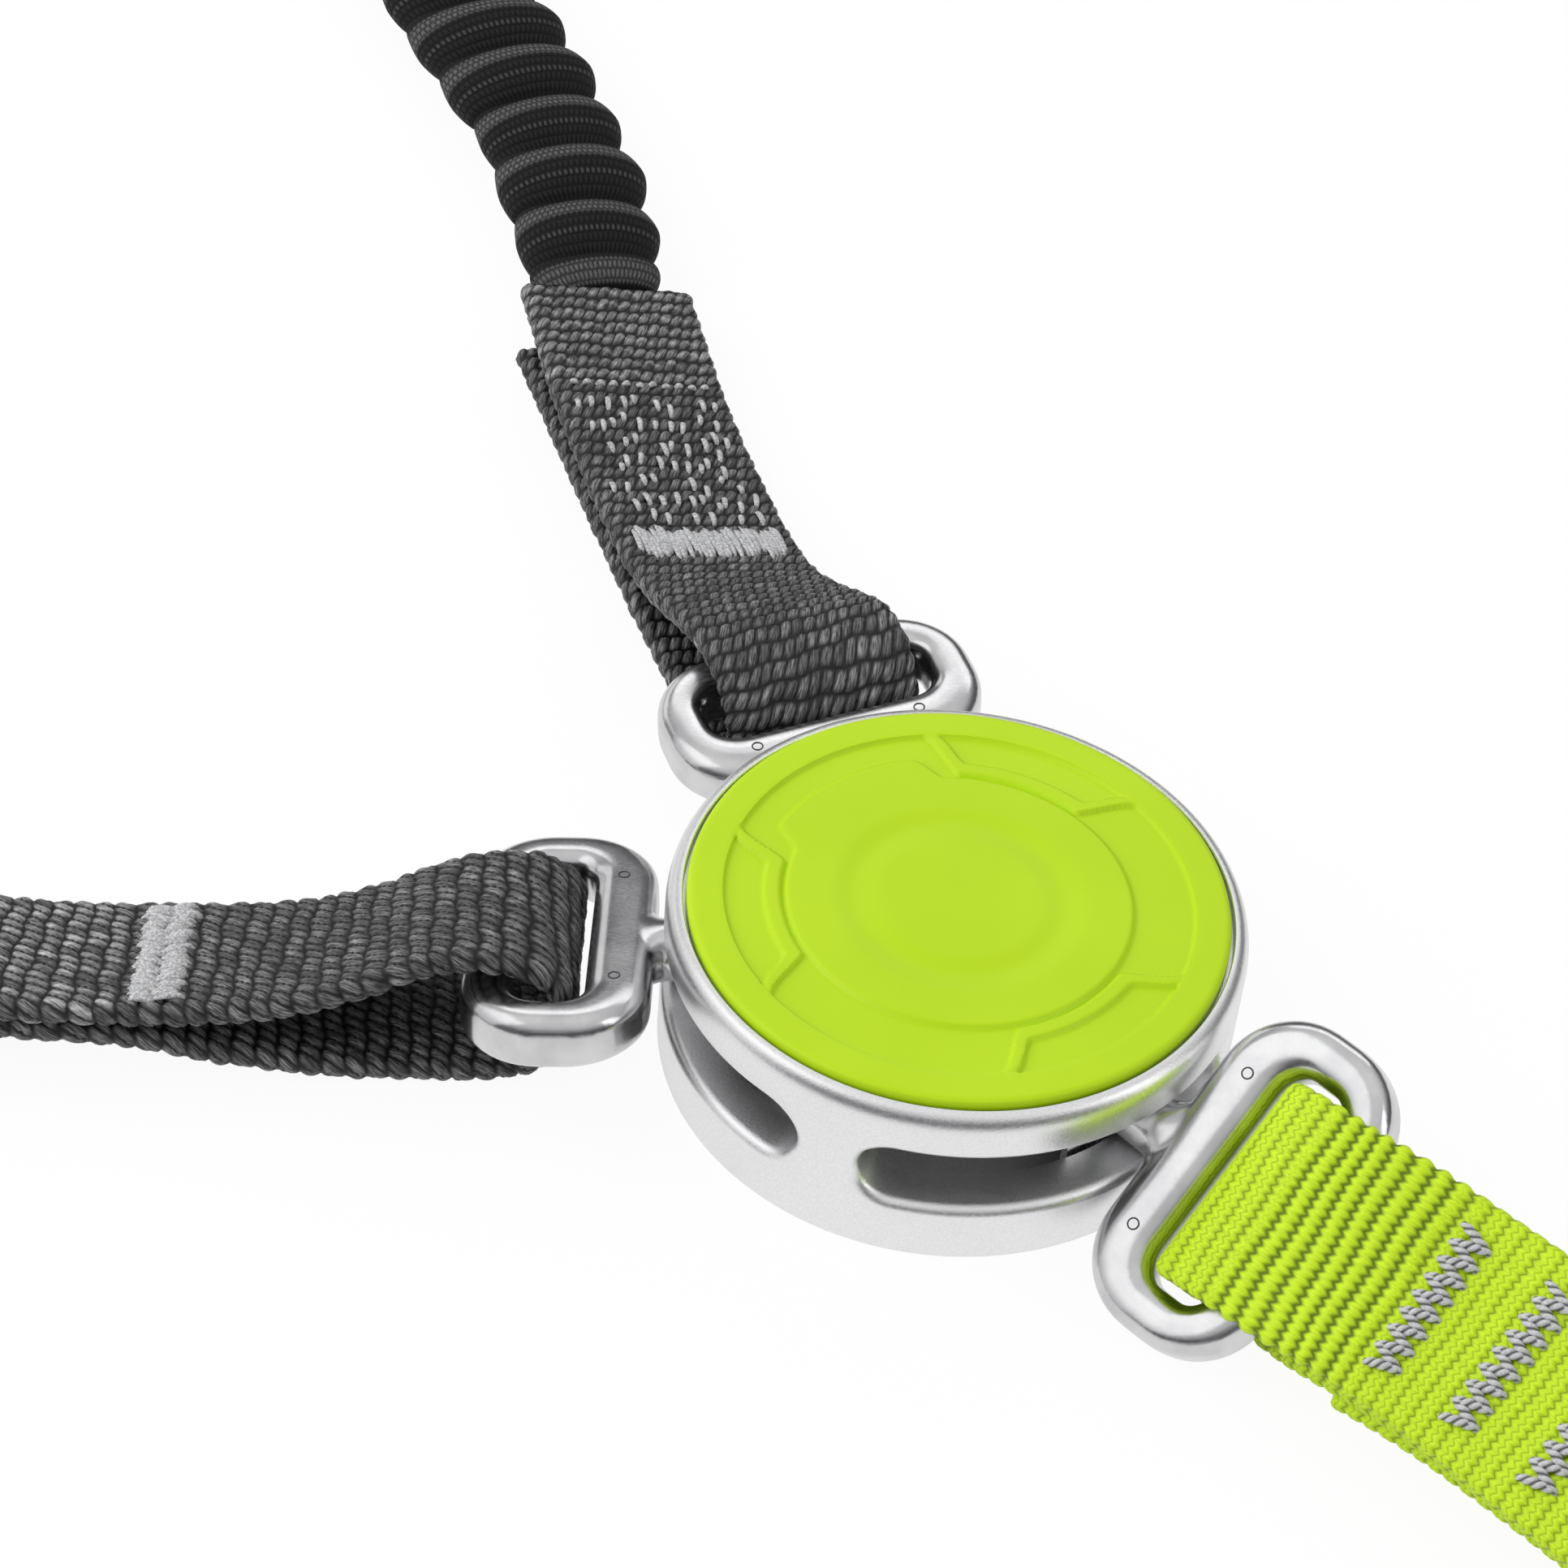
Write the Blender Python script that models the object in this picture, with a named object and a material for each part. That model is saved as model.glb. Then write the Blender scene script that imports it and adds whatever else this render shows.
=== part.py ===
"""Via ferrata lanyard: a three-slot swivel hub with three forged eyes, two elastic arms that end in
carabiners, and a strap to an energy absorber. Metres, +Z up, origin at the centre of the hub's flat base."""

import bpy
import bmesh
from math import cos, pi, radians, sin, tan
from mathutils import Matrix, Vector

# General
FIT_GAP = 0.0003
CUT_OVERRUN = 0.004
ROUND_STEPS = 40
SMALL_STEPS = 16
BARREL_STEPS = 12
SHARP_ANGLE = radians(35)
UP = Vector((0, 0, 1))
ACROSS = Vector((0, 1, 0))

# Hub housing
HUB_RADIUS = 0.025
HUB_RIM_HEIGHT = 0.0171
HUB_WALL = 0.0042
HUB_FLOOR = 0.0028
HUB_BASE_CHAMFER = 0.0004
RIM_WIDTH = 0.0014
RIM_ROUND = 0.0018
LEDGE_HEIGHT = 0.014
LEDGE_WIDTH = 0.0018
CAP_SEAT_HEIGHT = 0.0159
POST_RADIUS = 0.005
SLOT_BOTTOM = 0.006
SLOT_TOP = 0.0122
SLOT_EDGE_ROUND = 0.0012
SLOT_EDGE_LEANS = (0.0, radians(55))
SLOT_ANGLES = {
    "strap": (radians(-106.5), radians(-16.5)),
    "back": (radians(14), radians(122.5)),
    "left": (radians(135.5), radians(240.5)),
}

# Cover plate, screw, core and cap
PLATE_THICKNESS = 0.0016
SCREW_RADIUS = 0.0018
SCREW_HEAD_RADIUS = 0.004
COUNTERSINK_SHARE = 0.75
SCREW_DEPTH = 0.0105
SCREW_SOCKET_RADIUS = 0.0015
SCREW_SOCKET_DEPTH = 0.0012
CAP_TOP = 0.0177
CAP_THICKNESS = 0.0015
CAP_EDGE_ROUND = 0.0004
CAP_RING_WIDTH = 0.0024
CAP_FIELD_DEPTH = 0.0004
CAP_ISLAND_RADIUS = 0.0151
CAP_DISH_RADIUS = 0.011
CAP_DISH_DEPTH = 0.0002
SKIRT_RADIUS = 0.0186
SKIRT_WIDTH = 0.001
SKIRT_DEPTH = 0.0012

# Swivel eyes
EYE_NAMES = ("strap", "back", "left")
EYE_AZIMUTH = {"strap": radians(-41.5), "back": radians(113), "left": radians(182.5)}
EYE_ROLL = {"strap": radians(37), "back": radians(-4), "left": radians(12)}
EYE_DROOP = {"strap": 0.0, "back": 0.0, "left": radians(4)}
EYE_CLEARANCE = 0.0006
CORE_CLEARANCE = 0.0005
EYE_DEPTH = 0.0162
EYE_WIDTH = 0.030
EYE_BAR = 0.0044
EYE_THICKNESS = 0.0053
EYE_CORNER = 0.0070
EYE_EDGE_ROUND = 0.0016
SHANK_RADIUS = 0.00275
SHANK_FLARE = 0.0016
SHANK_FLARE_START = 0.0006
THREAD_RADIUS = 0.0024
THREAD_PROUD = 0.0002
NUT_HEIGHT = 0.0034
NUT_FLATS = 0.0074
WASHER_THICKNESS = 0.0018
WASHER_HEIGHT = 0.0084
WASHER_HALF_ANGLE = radians(17)
# Places along a shank, from the hub's axis
EYE_INNER = HUB_RADIUS + EYE_CLEARANCE
WASHER_FLAT_SIDE = HUB_RADIUS - HUB_WALL - WASHER_THICKNESS
NUT_OUTER = WASHER_FLAT_SIDE - FIT_GAP
THREAD_END = NUT_OUTER - NUT_HEIGHT - THREAD_PROUD
CORE_RADIUS = THREAD_END - CORE_CLEARANCE

# Webbing and elastic
ARM_WIDTH = 0.0185
ARM_THICKNESS = 0.002
STRAP_WIDTH = 0.0195
STRAP_THICKNESS = 0.0019
LOOP_STEPS = 2
ELASTIC_WIDTH = 0.0180
ELASTIC_THICKNESS = 0.0084
ELASTIC_RIB_PITCH = 0.0098
ELASTIC_RINGS = 4
ELASTIC_WAIST_SHARE = 0.84
ELASTIC_SIDES = 8
ELASTIC_HEIGHT = 0.0044

# Carabiners
CARABINER_NAMES = ("left", "back")
CARABINER_LENGTH = 0.116
CARABINER_WIDTH = 0.066
BODY_WIDTH = 0.0095
BODY_THICKNESS = 0.011
EYE_BAR_THICKNESS = 0.0058
NOSE_LENGTH = 0.0055
GATE_RADIUS = 0.0044
GATE_PIN_RADIUS = 0.0012
GATE_BORE_RADIUS = 0.0022
GATE_BORE_DEPTH = 0.016
HINGE_TAB_THICKNESS = 0.0044
HINGE_TAB_RADIUS = 0.003
SPRING_WIRE = 0.0004
SPRING_TURNS = 6
PLUNGER_LENGTH = 0.0022
SLEEVE_WALL = 0.0018
SLEEVE_LENGTH = 0.024
SLEEVE_TRAVEL = 0.007
SLEEVE_RIB = 0.0006
SLEEVE_RIB_COUNT = 3
END_LOOP_WIDTH = 0.0185
END_LOOP_THICKNESS = 0.0018
KEEPER_START = 0.012
KEEPER_LENGTH = 0.012
KEEPER_WALL = 0.0016
KEEPER_HOLE_HEIGHT = 0.0048

# Energy absorber
POUCH_LENGTH = 0.105
POUCH_WIDTH = 0.052
POUCH_HEIGHT = 0.030
POUCH_WALL = 0.0016
POUCH_CORNER = 0.009
POUCH_GAP = 0.075
PACK_LENGTH = 0.066
PACK_WIDTH = 0.032
PACK_LAYERS = 10
PACK_THICKNESS = 0.00095
ZIP_WIDTH = 0.005
ZIP_THICKNESS = 0.0012
ZIP_LENGTH_SHARE = 0.78
SLIDER_LENGTH = 0.009
SLIDER_WIDTH = 0.007
SLIDER_THICKNESS = 0.0032
SLIDER_EAR = 0.001
SLIDER_EAR_LENGTH = 0.003
PULL_LENGTH = 0.018
PULL_THICKNESS = 0.0012

# Routes of the webbing: distance past the hub's rim, drift along the eye's bar, height over the
# eye's mid-plane, roll in degrees and height of the eye's own axis over the table, in millimetres.
MM = 0.001
LEFT_LOOP_ROUTE = (
    (84.5, 0.1, 0, 0, 3.9), (80.5, 0.1, 0, 1, 4.0), (75, 0.8, 0, 6, 4.5), (65, 2.1, 0, 14, 5.6),
    (53, 2.8, 0, 16, 5.8),
    (43, 2.5, 0, 15.5, 6.0), (36, 2.2, 0, 16, 6.5), (30, 2, 0, 17, 7.7), (24.5, 1.4, 0, 18, 9.6),
    (19.5, 0.5, 0, 17.5, 11.6), (15, 0.1, 0, 15, 12.5), (11, 0, 0, 13, 12.0), (8.4, 0, 0, 11, 9.4),
    (8.1, 0, 0, 7, 6.2), (9.8, 0, 0, 3, 3.2), (14, 0, 0, 0, 1.7), (22, 0.3, 0, 0, 1.35),
    (30, 1, 0, 2, 1.7), (38, 1.8, 0, 7, 2.6), (45, 2.4, 0, 13, 3.5), (53, 2.8, 0, 16, 3.6),
    (65, 2.3, 0, 14, 3.4), (71, 1.8, 0, 10, 2.8), (77, 1.2, 0, 5.5, 2.2),
)
BACK_LOOP_ROUTE = (
    (78.5, -1.4, 0, 10, 5.4), (71, -0.6, 0, 11, 5.3), (60, 0.5, 0, 11, 5.1), (49, 1, 0, 11, 5.0),
    (38.5, 1.3, 0, 11, 5.5), (31, 1.4, 0, 10, 7.0), (24.5, 1.2, 0, 7, 9.6), (19, 0.8, 0, 3, 12.2),
    (14.6, 0.4, 0, -2, 13.5), (10.8, 0.1, 0, -4, 12.8), (8.3, 0, 0, -4, 10.3),
    (7.9, 0, 0, -4, 7.4), (9.6, 0, 0, -3, 4.7), (14, 0.2, 0, 0, 3.0), (21, 0.9, 0, 5, 2.5),
    (32, 1.6, 0, 10, 2.8), (45, 1.6, 0, 11, 2.85), (59, 1.4, 0, 11, 2.9), (71.5, 1.2, 0, 11, 2.95),
)
STRAP_LOOP_ROUTE = (
    (54, 0.5, 2.1, 33, 10.4), (45, 0.8, 2.1, 31, 10.4), (35, 1, 2.1, 29, 10.2),
    (27.5, 0.9, 2.6, 28, 9.8), (22, 0.7, 3.8, 30, 9.4), (17.5, 0.5, 4.5, 34, 9.1),
    (13.4, 0.3, 4.5, 36.5, 9.1), (10.6, 0, 3.2, 37, 9.1), (9.9, 0, 0, 37, 9.1),
    (10.6, 0, -3.2, 37, 9.1), (13.6, 0.3, -4.3, 36.5, 9.1), (18, 0.5, -3.7, 34, 9.1),
    (22.5, 0.7, -1.6, 30, 9.4), (27.5, 0.9, -0.3, 28, 9.8), (35, 1, -0.2, 29, 10.2),
    (45, 0.8, -0.2, 31, 10.4), (53, 0.5, -0.2, 33, 10.4),
)
STRAP_RUN_ROUTE = (
    (24.2, 0.1, -3.9, 29, 9.6), (29, 0.5, -2.8, 28, 9.9), (35, 0.8, -2.6, 29, 10.2),
    (45, 0.8, -2.6, 31, 10.4), (55, 0.5, -2.6, 33, 10.4), (59, 0.4, -2.4, 29, 11),
    (63.5, 0.2, -1.6, 19, 12.6), (68, 0, -0.6, 8, 14.2), (72, 0, 0, 1, 14.9), (78, 0, 0, 0, 15),
    (84, 0, 0, 0, 15),
)
# Routes of the elastic arms on the table, from the point of the hub's rim under their eye, in
# millimetres
LEFT_ELASTIC_ROUTE = (
    (-85.3, -3.72), (-93.02, -4.06), (-108, -5.2), (-132, -9.4), (-157, -20.9), (-174, -42.9),
    (-178, -68.9), (-168, -94.9), (-146, -113.9), (-121, -119.91), (-103, -119.91),
    (-93.02, -119.91),
)
BACK_ELASTIC_ROUTE = (
    (-29.6, 73.6), (-31.7, 81.2), (-34.4, 91), (-38.5, 102.3), (-44.6, 114.8), (-51, 127),
    (-58.7, 144), (-64.8, 161), (-66.8, 180), (-59.6, 199), (-39.5, 211), (-10, 212),
    (15, 200), (31, 187.5), (43.8, 182.99), (50.8, 182.99), (57.77, 182.99),
)
ELASTIC_ROUTES = {"left": LEFT_ELASTIC_ROUTE, "back": BACK_ELASTIC_ROUTE}
LOOP_ROUTES = {"left": LEFT_LOOP_ROUTE, "back": BACK_LOOP_ROUTE, "strap": STRAP_LOOP_ROUTE}
# Route of the webbing that ties an arm's end to its carabiner: distance past the end of the
# elastic and height, in millimetres
END_LOOP_ROUTE = (
    (0.5, 5.5), (12, 5.5), (26, 5.6), (34, 7.4), (40.5, 9.3), (46, 9.7), (50.5, 9.6), (54.3, 8.5),
    (55.6, 5.5), (54.3, 2.4), (50.5, 1.3), (46, 1.2), (39.5, 1.3), (33, 2.5), (26, 3.2), (12, 3.2),
    (0.9, 3.2),
)
# Route of the tie-in loop: distance past the end of the pouch and height, in millimetres
TIE_LOOP_ROUTE = (
    (-12, 16.1), (-5, 16.1), (2, 16.1), (10, 15.5), (22, 14.1), (38, 12.9), (56, 13.4),
    (68, 14.4), (78, 13), (83, 8.2), (79.5, 3.2), (70, 1.5), (54, 1.4), (38, 2.2), (26, 5.2),
    (16, 9.6), (8, 13.0), (2, 13.9), (-5, 13.9), (-12, 13.9),
)
CARABINER_AT = 0.0492

# Outlines as shares
FRAME_PATH_SHARES = (
    (0.225, 0.43), (0.165, 0.43), (0.085, 0.40), (0.03, 0.31), (0.0, 0.17), (0.0, 0.0),
    (0.0, -0.17), (0.03, -0.31), (0.115, -0.39), (0.255, -0.42), (0.455, -0.43), (0.655, -0.43),
    (0.805, -0.39), (0.89, -0.25), (0.915, 0.0), (0.91, 0.22), (0.88, 0.36), (0.835, 0.425),
    (0.805, 0.43), (0.755, 0.43),
)
THIN_END_SHARE = 0.13
SPLINE_STEPS = 2


def remove_everything():
    for item in list(bpy.data.objects):
        bpy.data.objects.remove(item, do_unlink=True)


def material(name, color, roughness, metallic=0.0):
    surface = bpy.data.materials.new(name)
    surface.use_nodes = True
    shader = surface.node_tree.nodes["Principled BSDF"]
    shader.inputs["Base Color"].default_value = (*color, 1)
    shader.inputs["Roughness"].default_value = roughness
    shader.inputs["Metallic"].default_value = metallic
    return surface


def mesh_object(name, points, faces, surface=None, matrix=None, smooth=True):
    """One closed body from points and faces in its own axes, with its faces turned outward."""
    mesh = bpy.data.meshes.new(name)
    shape = bmesh.new()
    corners = [shape.verts.new(point) for point in points]
    for face in faces:
        shape.faces.new([corners[index] for index in face])
    bmesh.ops.recalc_face_normals(shape, faces=shape.faces)
    shape.to_mesh(mesh)
    shape.free()
    if smooth:
        mesh.shade_smooth()
        mesh.set_sharp_from_angle(angle=SHARP_ANGLE)
    item = bpy.data.objects.new(name, mesh)
    bpy.context.scene.collection.objects.link(item)
    if matrix is not None:
        item.matrix_world = matrix
    if surface is not None:
        mesh.materials.append(surface)
    return item


def turned(name, profile, surface=None, matrix=None, steps=ROUND_STEPS):
    """A closed profile of (radius, height) turned about Z. Points on the axis close at a pole."""
    points, rows = [], []
    for radius, height in profile:
        first = len(points)
        if radius == 0:
            points.append((0, 0, height))
            rows.append([first] * steps)
            continue
        for index in range(steps):
            angle = 2 * pi * index / steps
            points.append((radius * cos(angle), radius * sin(angle), height))
        rows.append(list(range(first, first + steps)))
    faces = []
    for row, following in zip(rows, rows[1:] + rows[:1]):
        for index in range(steps):
            after = (index + 1) % steps
            face = [row[index], row[after], following[after], following[index]]
            face = [corner for place, corner in enumerate(face) if corner != face[place - 1]]
            if len(face) > 2:
                faces.append(face)
    return mesh_object(name, points, faces, surface, matrix)


def lofted(name, rings, surface=None, matrix=None, closed=False, smooth=True):
    """A body through rings of as many points each, capped unless it closes on itself."""
    size = len(rings[0])
    points = [point for ring in rings for point in ring]
    faces = []
    last = len(rings) if closed else len(rings) - 1
    for row in range(last):
        here, there = row * size, (row + 1) % len(rings) * size
        for index in range(size):
            after = (index + 1) % size
            faces.append((here + index, here + after, there + after, there + index))
    if not closed:
        faces.append(tuple(range(size)))
        faces.append(tuple(range(len(points) - size, len(points))))
    return mesh_object(name, points, faces, surface, matrix, smooth)


def cut(item, cutter, operation="DIFFERENCE"):
    modifier = item.modifiers.new(cutter.name, "BOOLEAN")
    modifier.operation = operation
    modifier.object = cutter
    modifier.solver = "EXACT"
    cutter.hide_render = True
    cutter.display_type = "WIRE"


def frame_matrix(origin, along, across):
    """Axes with X along, Y across (made square to X) and Z completing them, at origin."""
    x_axis = Vector(along).normalized()
    z_axis = x_axis.cross(Vector(across)).normalized()
    y_axis = z_axis.cross(x_axis)
    axes = Matrix((x_axis, y_axis, z_axis)).transposed().to_4x4()
    axes.translation = Vector(origin)
    return axes


def spline(points, steps):
    """A smooth curve through the points, which may have any number of coordinates."""
    found = []
    for index in range(len(points) - 1):
        before = points[max(index - 1, 0)]
        here, there = points[index], points[index + 1]
        after = points[min(index + 2, len(points) - 1)]
        for step in range(steps):
            t = step / steps
            found.append(tuple(
                ((-t + 2 * t**2 - t**3) * a + (2 - 5 * t**2 + 3 * t**3) * b
                 + (t + 4 * t**2 - 3 * t**3) * c + (t**3 - t**2) * d) / 2
                for a, b, c, d in zip(before, here, there, after)
            ))
    found.append(tuple(points[-1]))
    return found


def spaced(points, pitch):
    """The same path with points every pitch, as nearly as it divides."""
    lengths = [0.0]
    for here, there in zip(points, points[1:]):
        lengths.append(lengths[-1] + (there - here).length)
    count = round(lengths[-1] / pitch)
    found, row = [], 0
    for index in range(count + 1):
        wanted = lengths[-1] * index / count
        while row < len(points) - 2 and lengths[row + 1] < wanted:
            row += 1
        share = (wanted - lengths[row]) / (lengths[row + 1] - lengths[row])
        found.append(points[row].lerp(points[row + 1], share))
    return found


def tangents(points):
    return [
        (points[min(index + 1, len(points) - 1)] - points[max(index - 1, 0)]).normalized()
        for index in range(len(points))
    ]


def band(name, centres, sides, width, thickness, surface, matrix=None):
    """Flat webbing along centres, with its width along sides."""
    rings = []
    for centre, tangent, side in zip(centres, tangents(centres), sides):
        across = (side - tangent * side.dot(tangent)).normalized()
        normal = tangent.cross(across)
        half, rise = across * width / 2, normal * thickness / 2
        rings.append([centre + half + rise, centre - half + rise, centre - half - rise,
                      centre + half - rise])
    return lofted(name, rings, surface, matrix)


def rounded_section(width, height, corner, steps):
    """Points round a rectangle with round corners, centred on zero."""
    found = []
    for quarter, (x_sign, y_sign) in enumerate(((1, 1), (-1, 1), (-1, -1), (1, -1))):
        for step in range(steps + 1):
            angle = pi / 2 * (quarter + step / steps)
            found.append((
                x_sign * (width / 2 - corner) + corner * cos(angle),
                y_sign * (height / 2 - corner) + corner * sin(angle),
            ))
    return found


def hub_parts(metal, dark, steel, lime):
    inner = HUB_RADIUS - HUB_WALL
    shelf = inner + LEDGE_WIDTH
    cap_radius = HUB_RADIUS - RIM_WIDTH - FIT_GAP
    post_top = LEDGE_HEIGHT - FIT_GAP
    bore = SCREW_RADIUS + FIT_GAP
    rim = HUB_RADIUS - RIM_ROUND
    rim_base = HUB_RIM_HEIGHT - RIM_ROUND
    crest = HUB_RADIUS - RIM_WIDTH + FIT_GAP
    housing = turned("hub_housing", [
        (0, 0), (HUB_RADIUS - HUB_BASE_CHAMFER, 0), (HUB_RADIUS, HUB_BASE_CHAMFER),
        (HUB_RADIUS, rim_base),
        (rim + RIM_ROUND * cos(pi / 6), rim_base + RIM_ROUND * sin(pi / 6)),
        (rim + RIM_ROUND * cos(pi / 3), rim_base + RIM_ROUND * sin(pi / 3)),
        (crest, HUB_RIM_HEIGHT), (HUB_RADIUS - RIM_WIDTH, HUB_RIM_HEIGHT - FIT_GAP),
        (HUB_RADIUS - RIM_WIDTH, CAP_SEAT_HEIGHT), (shelf, CAP_SEAT_HEIGHT), (shelf, LEDGE_HEIGHT),
        (inner, LEDGE_HEIGHT), (inner, HUB_FLOOR), (POST_RADIUS, HUB_FLOOR),
        (POST_RADIUS, post_top), (bore, post_top), (bore, HUB_FLOOR), (0, HUB_FLOOR),
    ], metal)
    for name, (first, last) in SLOT_ANGLES.items():
        cut(housing, slot_cutter(f"{name}_slot", first, last))

    plate_base = LEDGE_HEIGHT + FIT_GAP
    plate_top = plate_base + PLATE_THICKNESS
    sink_start = plate_top - PLATE_THICKNESS * COUNTERSINK_SHARE
    head = SCREW_HEAD_RADIUS + FIT_GAP
    groove_outer = SKIRT_RADIUS + FIT_GAP
    groove_inner = SKIRT_RADIUS - SKIRT_WIDTH - FIT_GAP
    groove_floor = plate_top - SKIRT_DEPTH
    turned("cover_plate", [
        (bore, plate_base), (shelf - FIT_GAP, plate_base), (shelf - FIT_GAP, plate_top),
        (groove_outer, plate_top), (groove_outer, groove_floor), (groove_inner, groove_floor),
        (groove_inner, plate_top), (head, plate_top), (bore, sink_start),
    ], steel)
    socket_floor = plate_top - SCREW_SOCKET_DEPTH
    turned("cover_screw", [
        (0, plate_top - SCREW_DEPTH), (SCREW_RADIUS, plate_top - SCREW_DEPTH),
        (SCREW_RADIUS, sink_start + FIT_GAP), (SCREW_HEAD_RADIUS, plate_top), (SCREW_SOCKET_RADIUS, plate_top),
        (SCREW_SOCKET_RADIUS, socket_floor), (0, socket_floor),
    ], steel, steps=SMALL_STEPS)
    turned("core_ring", [
        (POST_RADIUS + FIT_GAP, HUB_FLOOR + FIT_GAP), (CORE_RADIUS, HUB_FLOOR + FIT_GAP),
        (CORE_RADIUS, LEDGE_HEIGHT), (POST_RADIUS + FIT_GAP, LEDGE_HEIGHT),
    ], dark)
    field = cap_radius - CAP_RING_WIDTH
    under = CAP_TOP - CAP_THICKNESS
    skirt_end = groove_floor + FIT_GAP
    turned("cap", [
        (0, under), (SKIRT_RADIUS - SKIRT_WIDTH, under), (SKIRT_RADIUS - SKIRT_WIDTH, skirt_end),
        (SKIRT_RADIUS, skirt_end), (SKIRT_RADIUS, under), (cap_radius, under),
        (cap_radius, CAP_TOP - CAP_EDGE_ROUND), (cap_radius - CAP_EDGE_ROUND, CAP_TOP),
        (field, CAP_TOP), (field, CAP_TOP - CAP_FIELD_DEPTH),
        (CAP_ISLAND_RADIUS, CAP_TOP - CAP_FIELD_DEPTH), (CAP_ISLAND_RADIUS, CAP_TOP),
        (CAP_DISH_RADIUS, CAP_TOP), (0, CAP_TOP - CAP_DISH_DEPTH),
    ], lime)


def slot_cutter(name, first, last):
    """The space of a round-ended slot through the wall, wider by a fillet at the outer face."""
    half_height = (SLOT_TOP - SLOT_BOTTOM) / 2
    middle_height = (SLOT_TOP + SLOT_BOTTOM) / 2
    middle_radius = HUB_RADIUS - HUB_WALL / 2
    stations = [(HUB_RADIUS - HUB_WALL - CUT_OVERRUN, 0.0)]
    for lean in SLOT_EDGE_LEANS:
        stations.append((
            HUB_RADIUS - SLOT_EDGE_ROUND * (1 - sin(lean)), SLOT_EDGE_ROUND * (1 - cos(lean)),
        ))
    last_radius, last_growth = stations[-1]
    beyond = HUB_RADIUS + FIT_GAP
    stations.append((beyond, last_growth + (beyond - last_radius) * tan(SLOT_EDGE_LEANS[-1])))
    run_steps = 10
    end_turns = (radians(16), radians(48))
    points, rows = [], []
    for radius, growth in stations:
        reach = half_height + growth
        low, high = first + half_height / middle_radius, last - half_height / middle_radius
        columns = [(low - reach * cos(turn) / middle_radius, reach * sin(turn)) for turn in end_turns]
        columns += [(low + (high - low) * step / run_steps, reach) for step in range(run_steps + 1)]
        columns += [(high + reach * cos(turn) / middle_radius, reach * sin(turn))
                    for turn in reversed(end_turns)]
        outline = [(angle, -rise) for angle, rise in columns] + columns[::-1]
        rows.append(list(range(len(points), len(points) + len(outline))))
        points += [(radius * cos(angle), radius * sin(angle), middle_height + height)
                   for angle, height in outline]
    faces = []
    for row, following in zip(rows, rows[1:]):
        for index in range(len(row)):
            after = (index + 1) % len(row)
            faces.append((row[index], row[after], following[after], following[index]))
    for row in (rows[0], rows[-1]):
        for index in range(len(row) // 2 - 1):
            faces.append((row[index], row[index + 1], row[-index - 2], row[-index - 1]))
    return mesh_object(name, points, faces)


def eye_axes(name):
    """Matrix of an eye: X out of the hub along its shank, Y along its bars, Z out of its face.
    Its origin lies on the hub's axis, so that X is the distance from it."""
    azimuth, droop = EYE_AZIMUTH[name], EYE_DROOP[name]
    pivot_radius = HUB_RADIUS - HUB_WALL / 2
    middle = (SLOT_TOP + SLOT_BOTTOM) / 2
    radial = Vector((cos(azimuth), sin(azimuth), 0))
    along = radial * cos(droop) - UP * sin(droop)
    pivot = radial * pivot_radius + UP * middle
    level = UP.cross(along).normalized()
    lifted = along.cross(level)
    side = level * cos(EYE_ROLL[name]) + lifted * sin(EYE_ROLL[name])
    return frame_matrix(pivot - along * pivot_radius, along, side)


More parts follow.
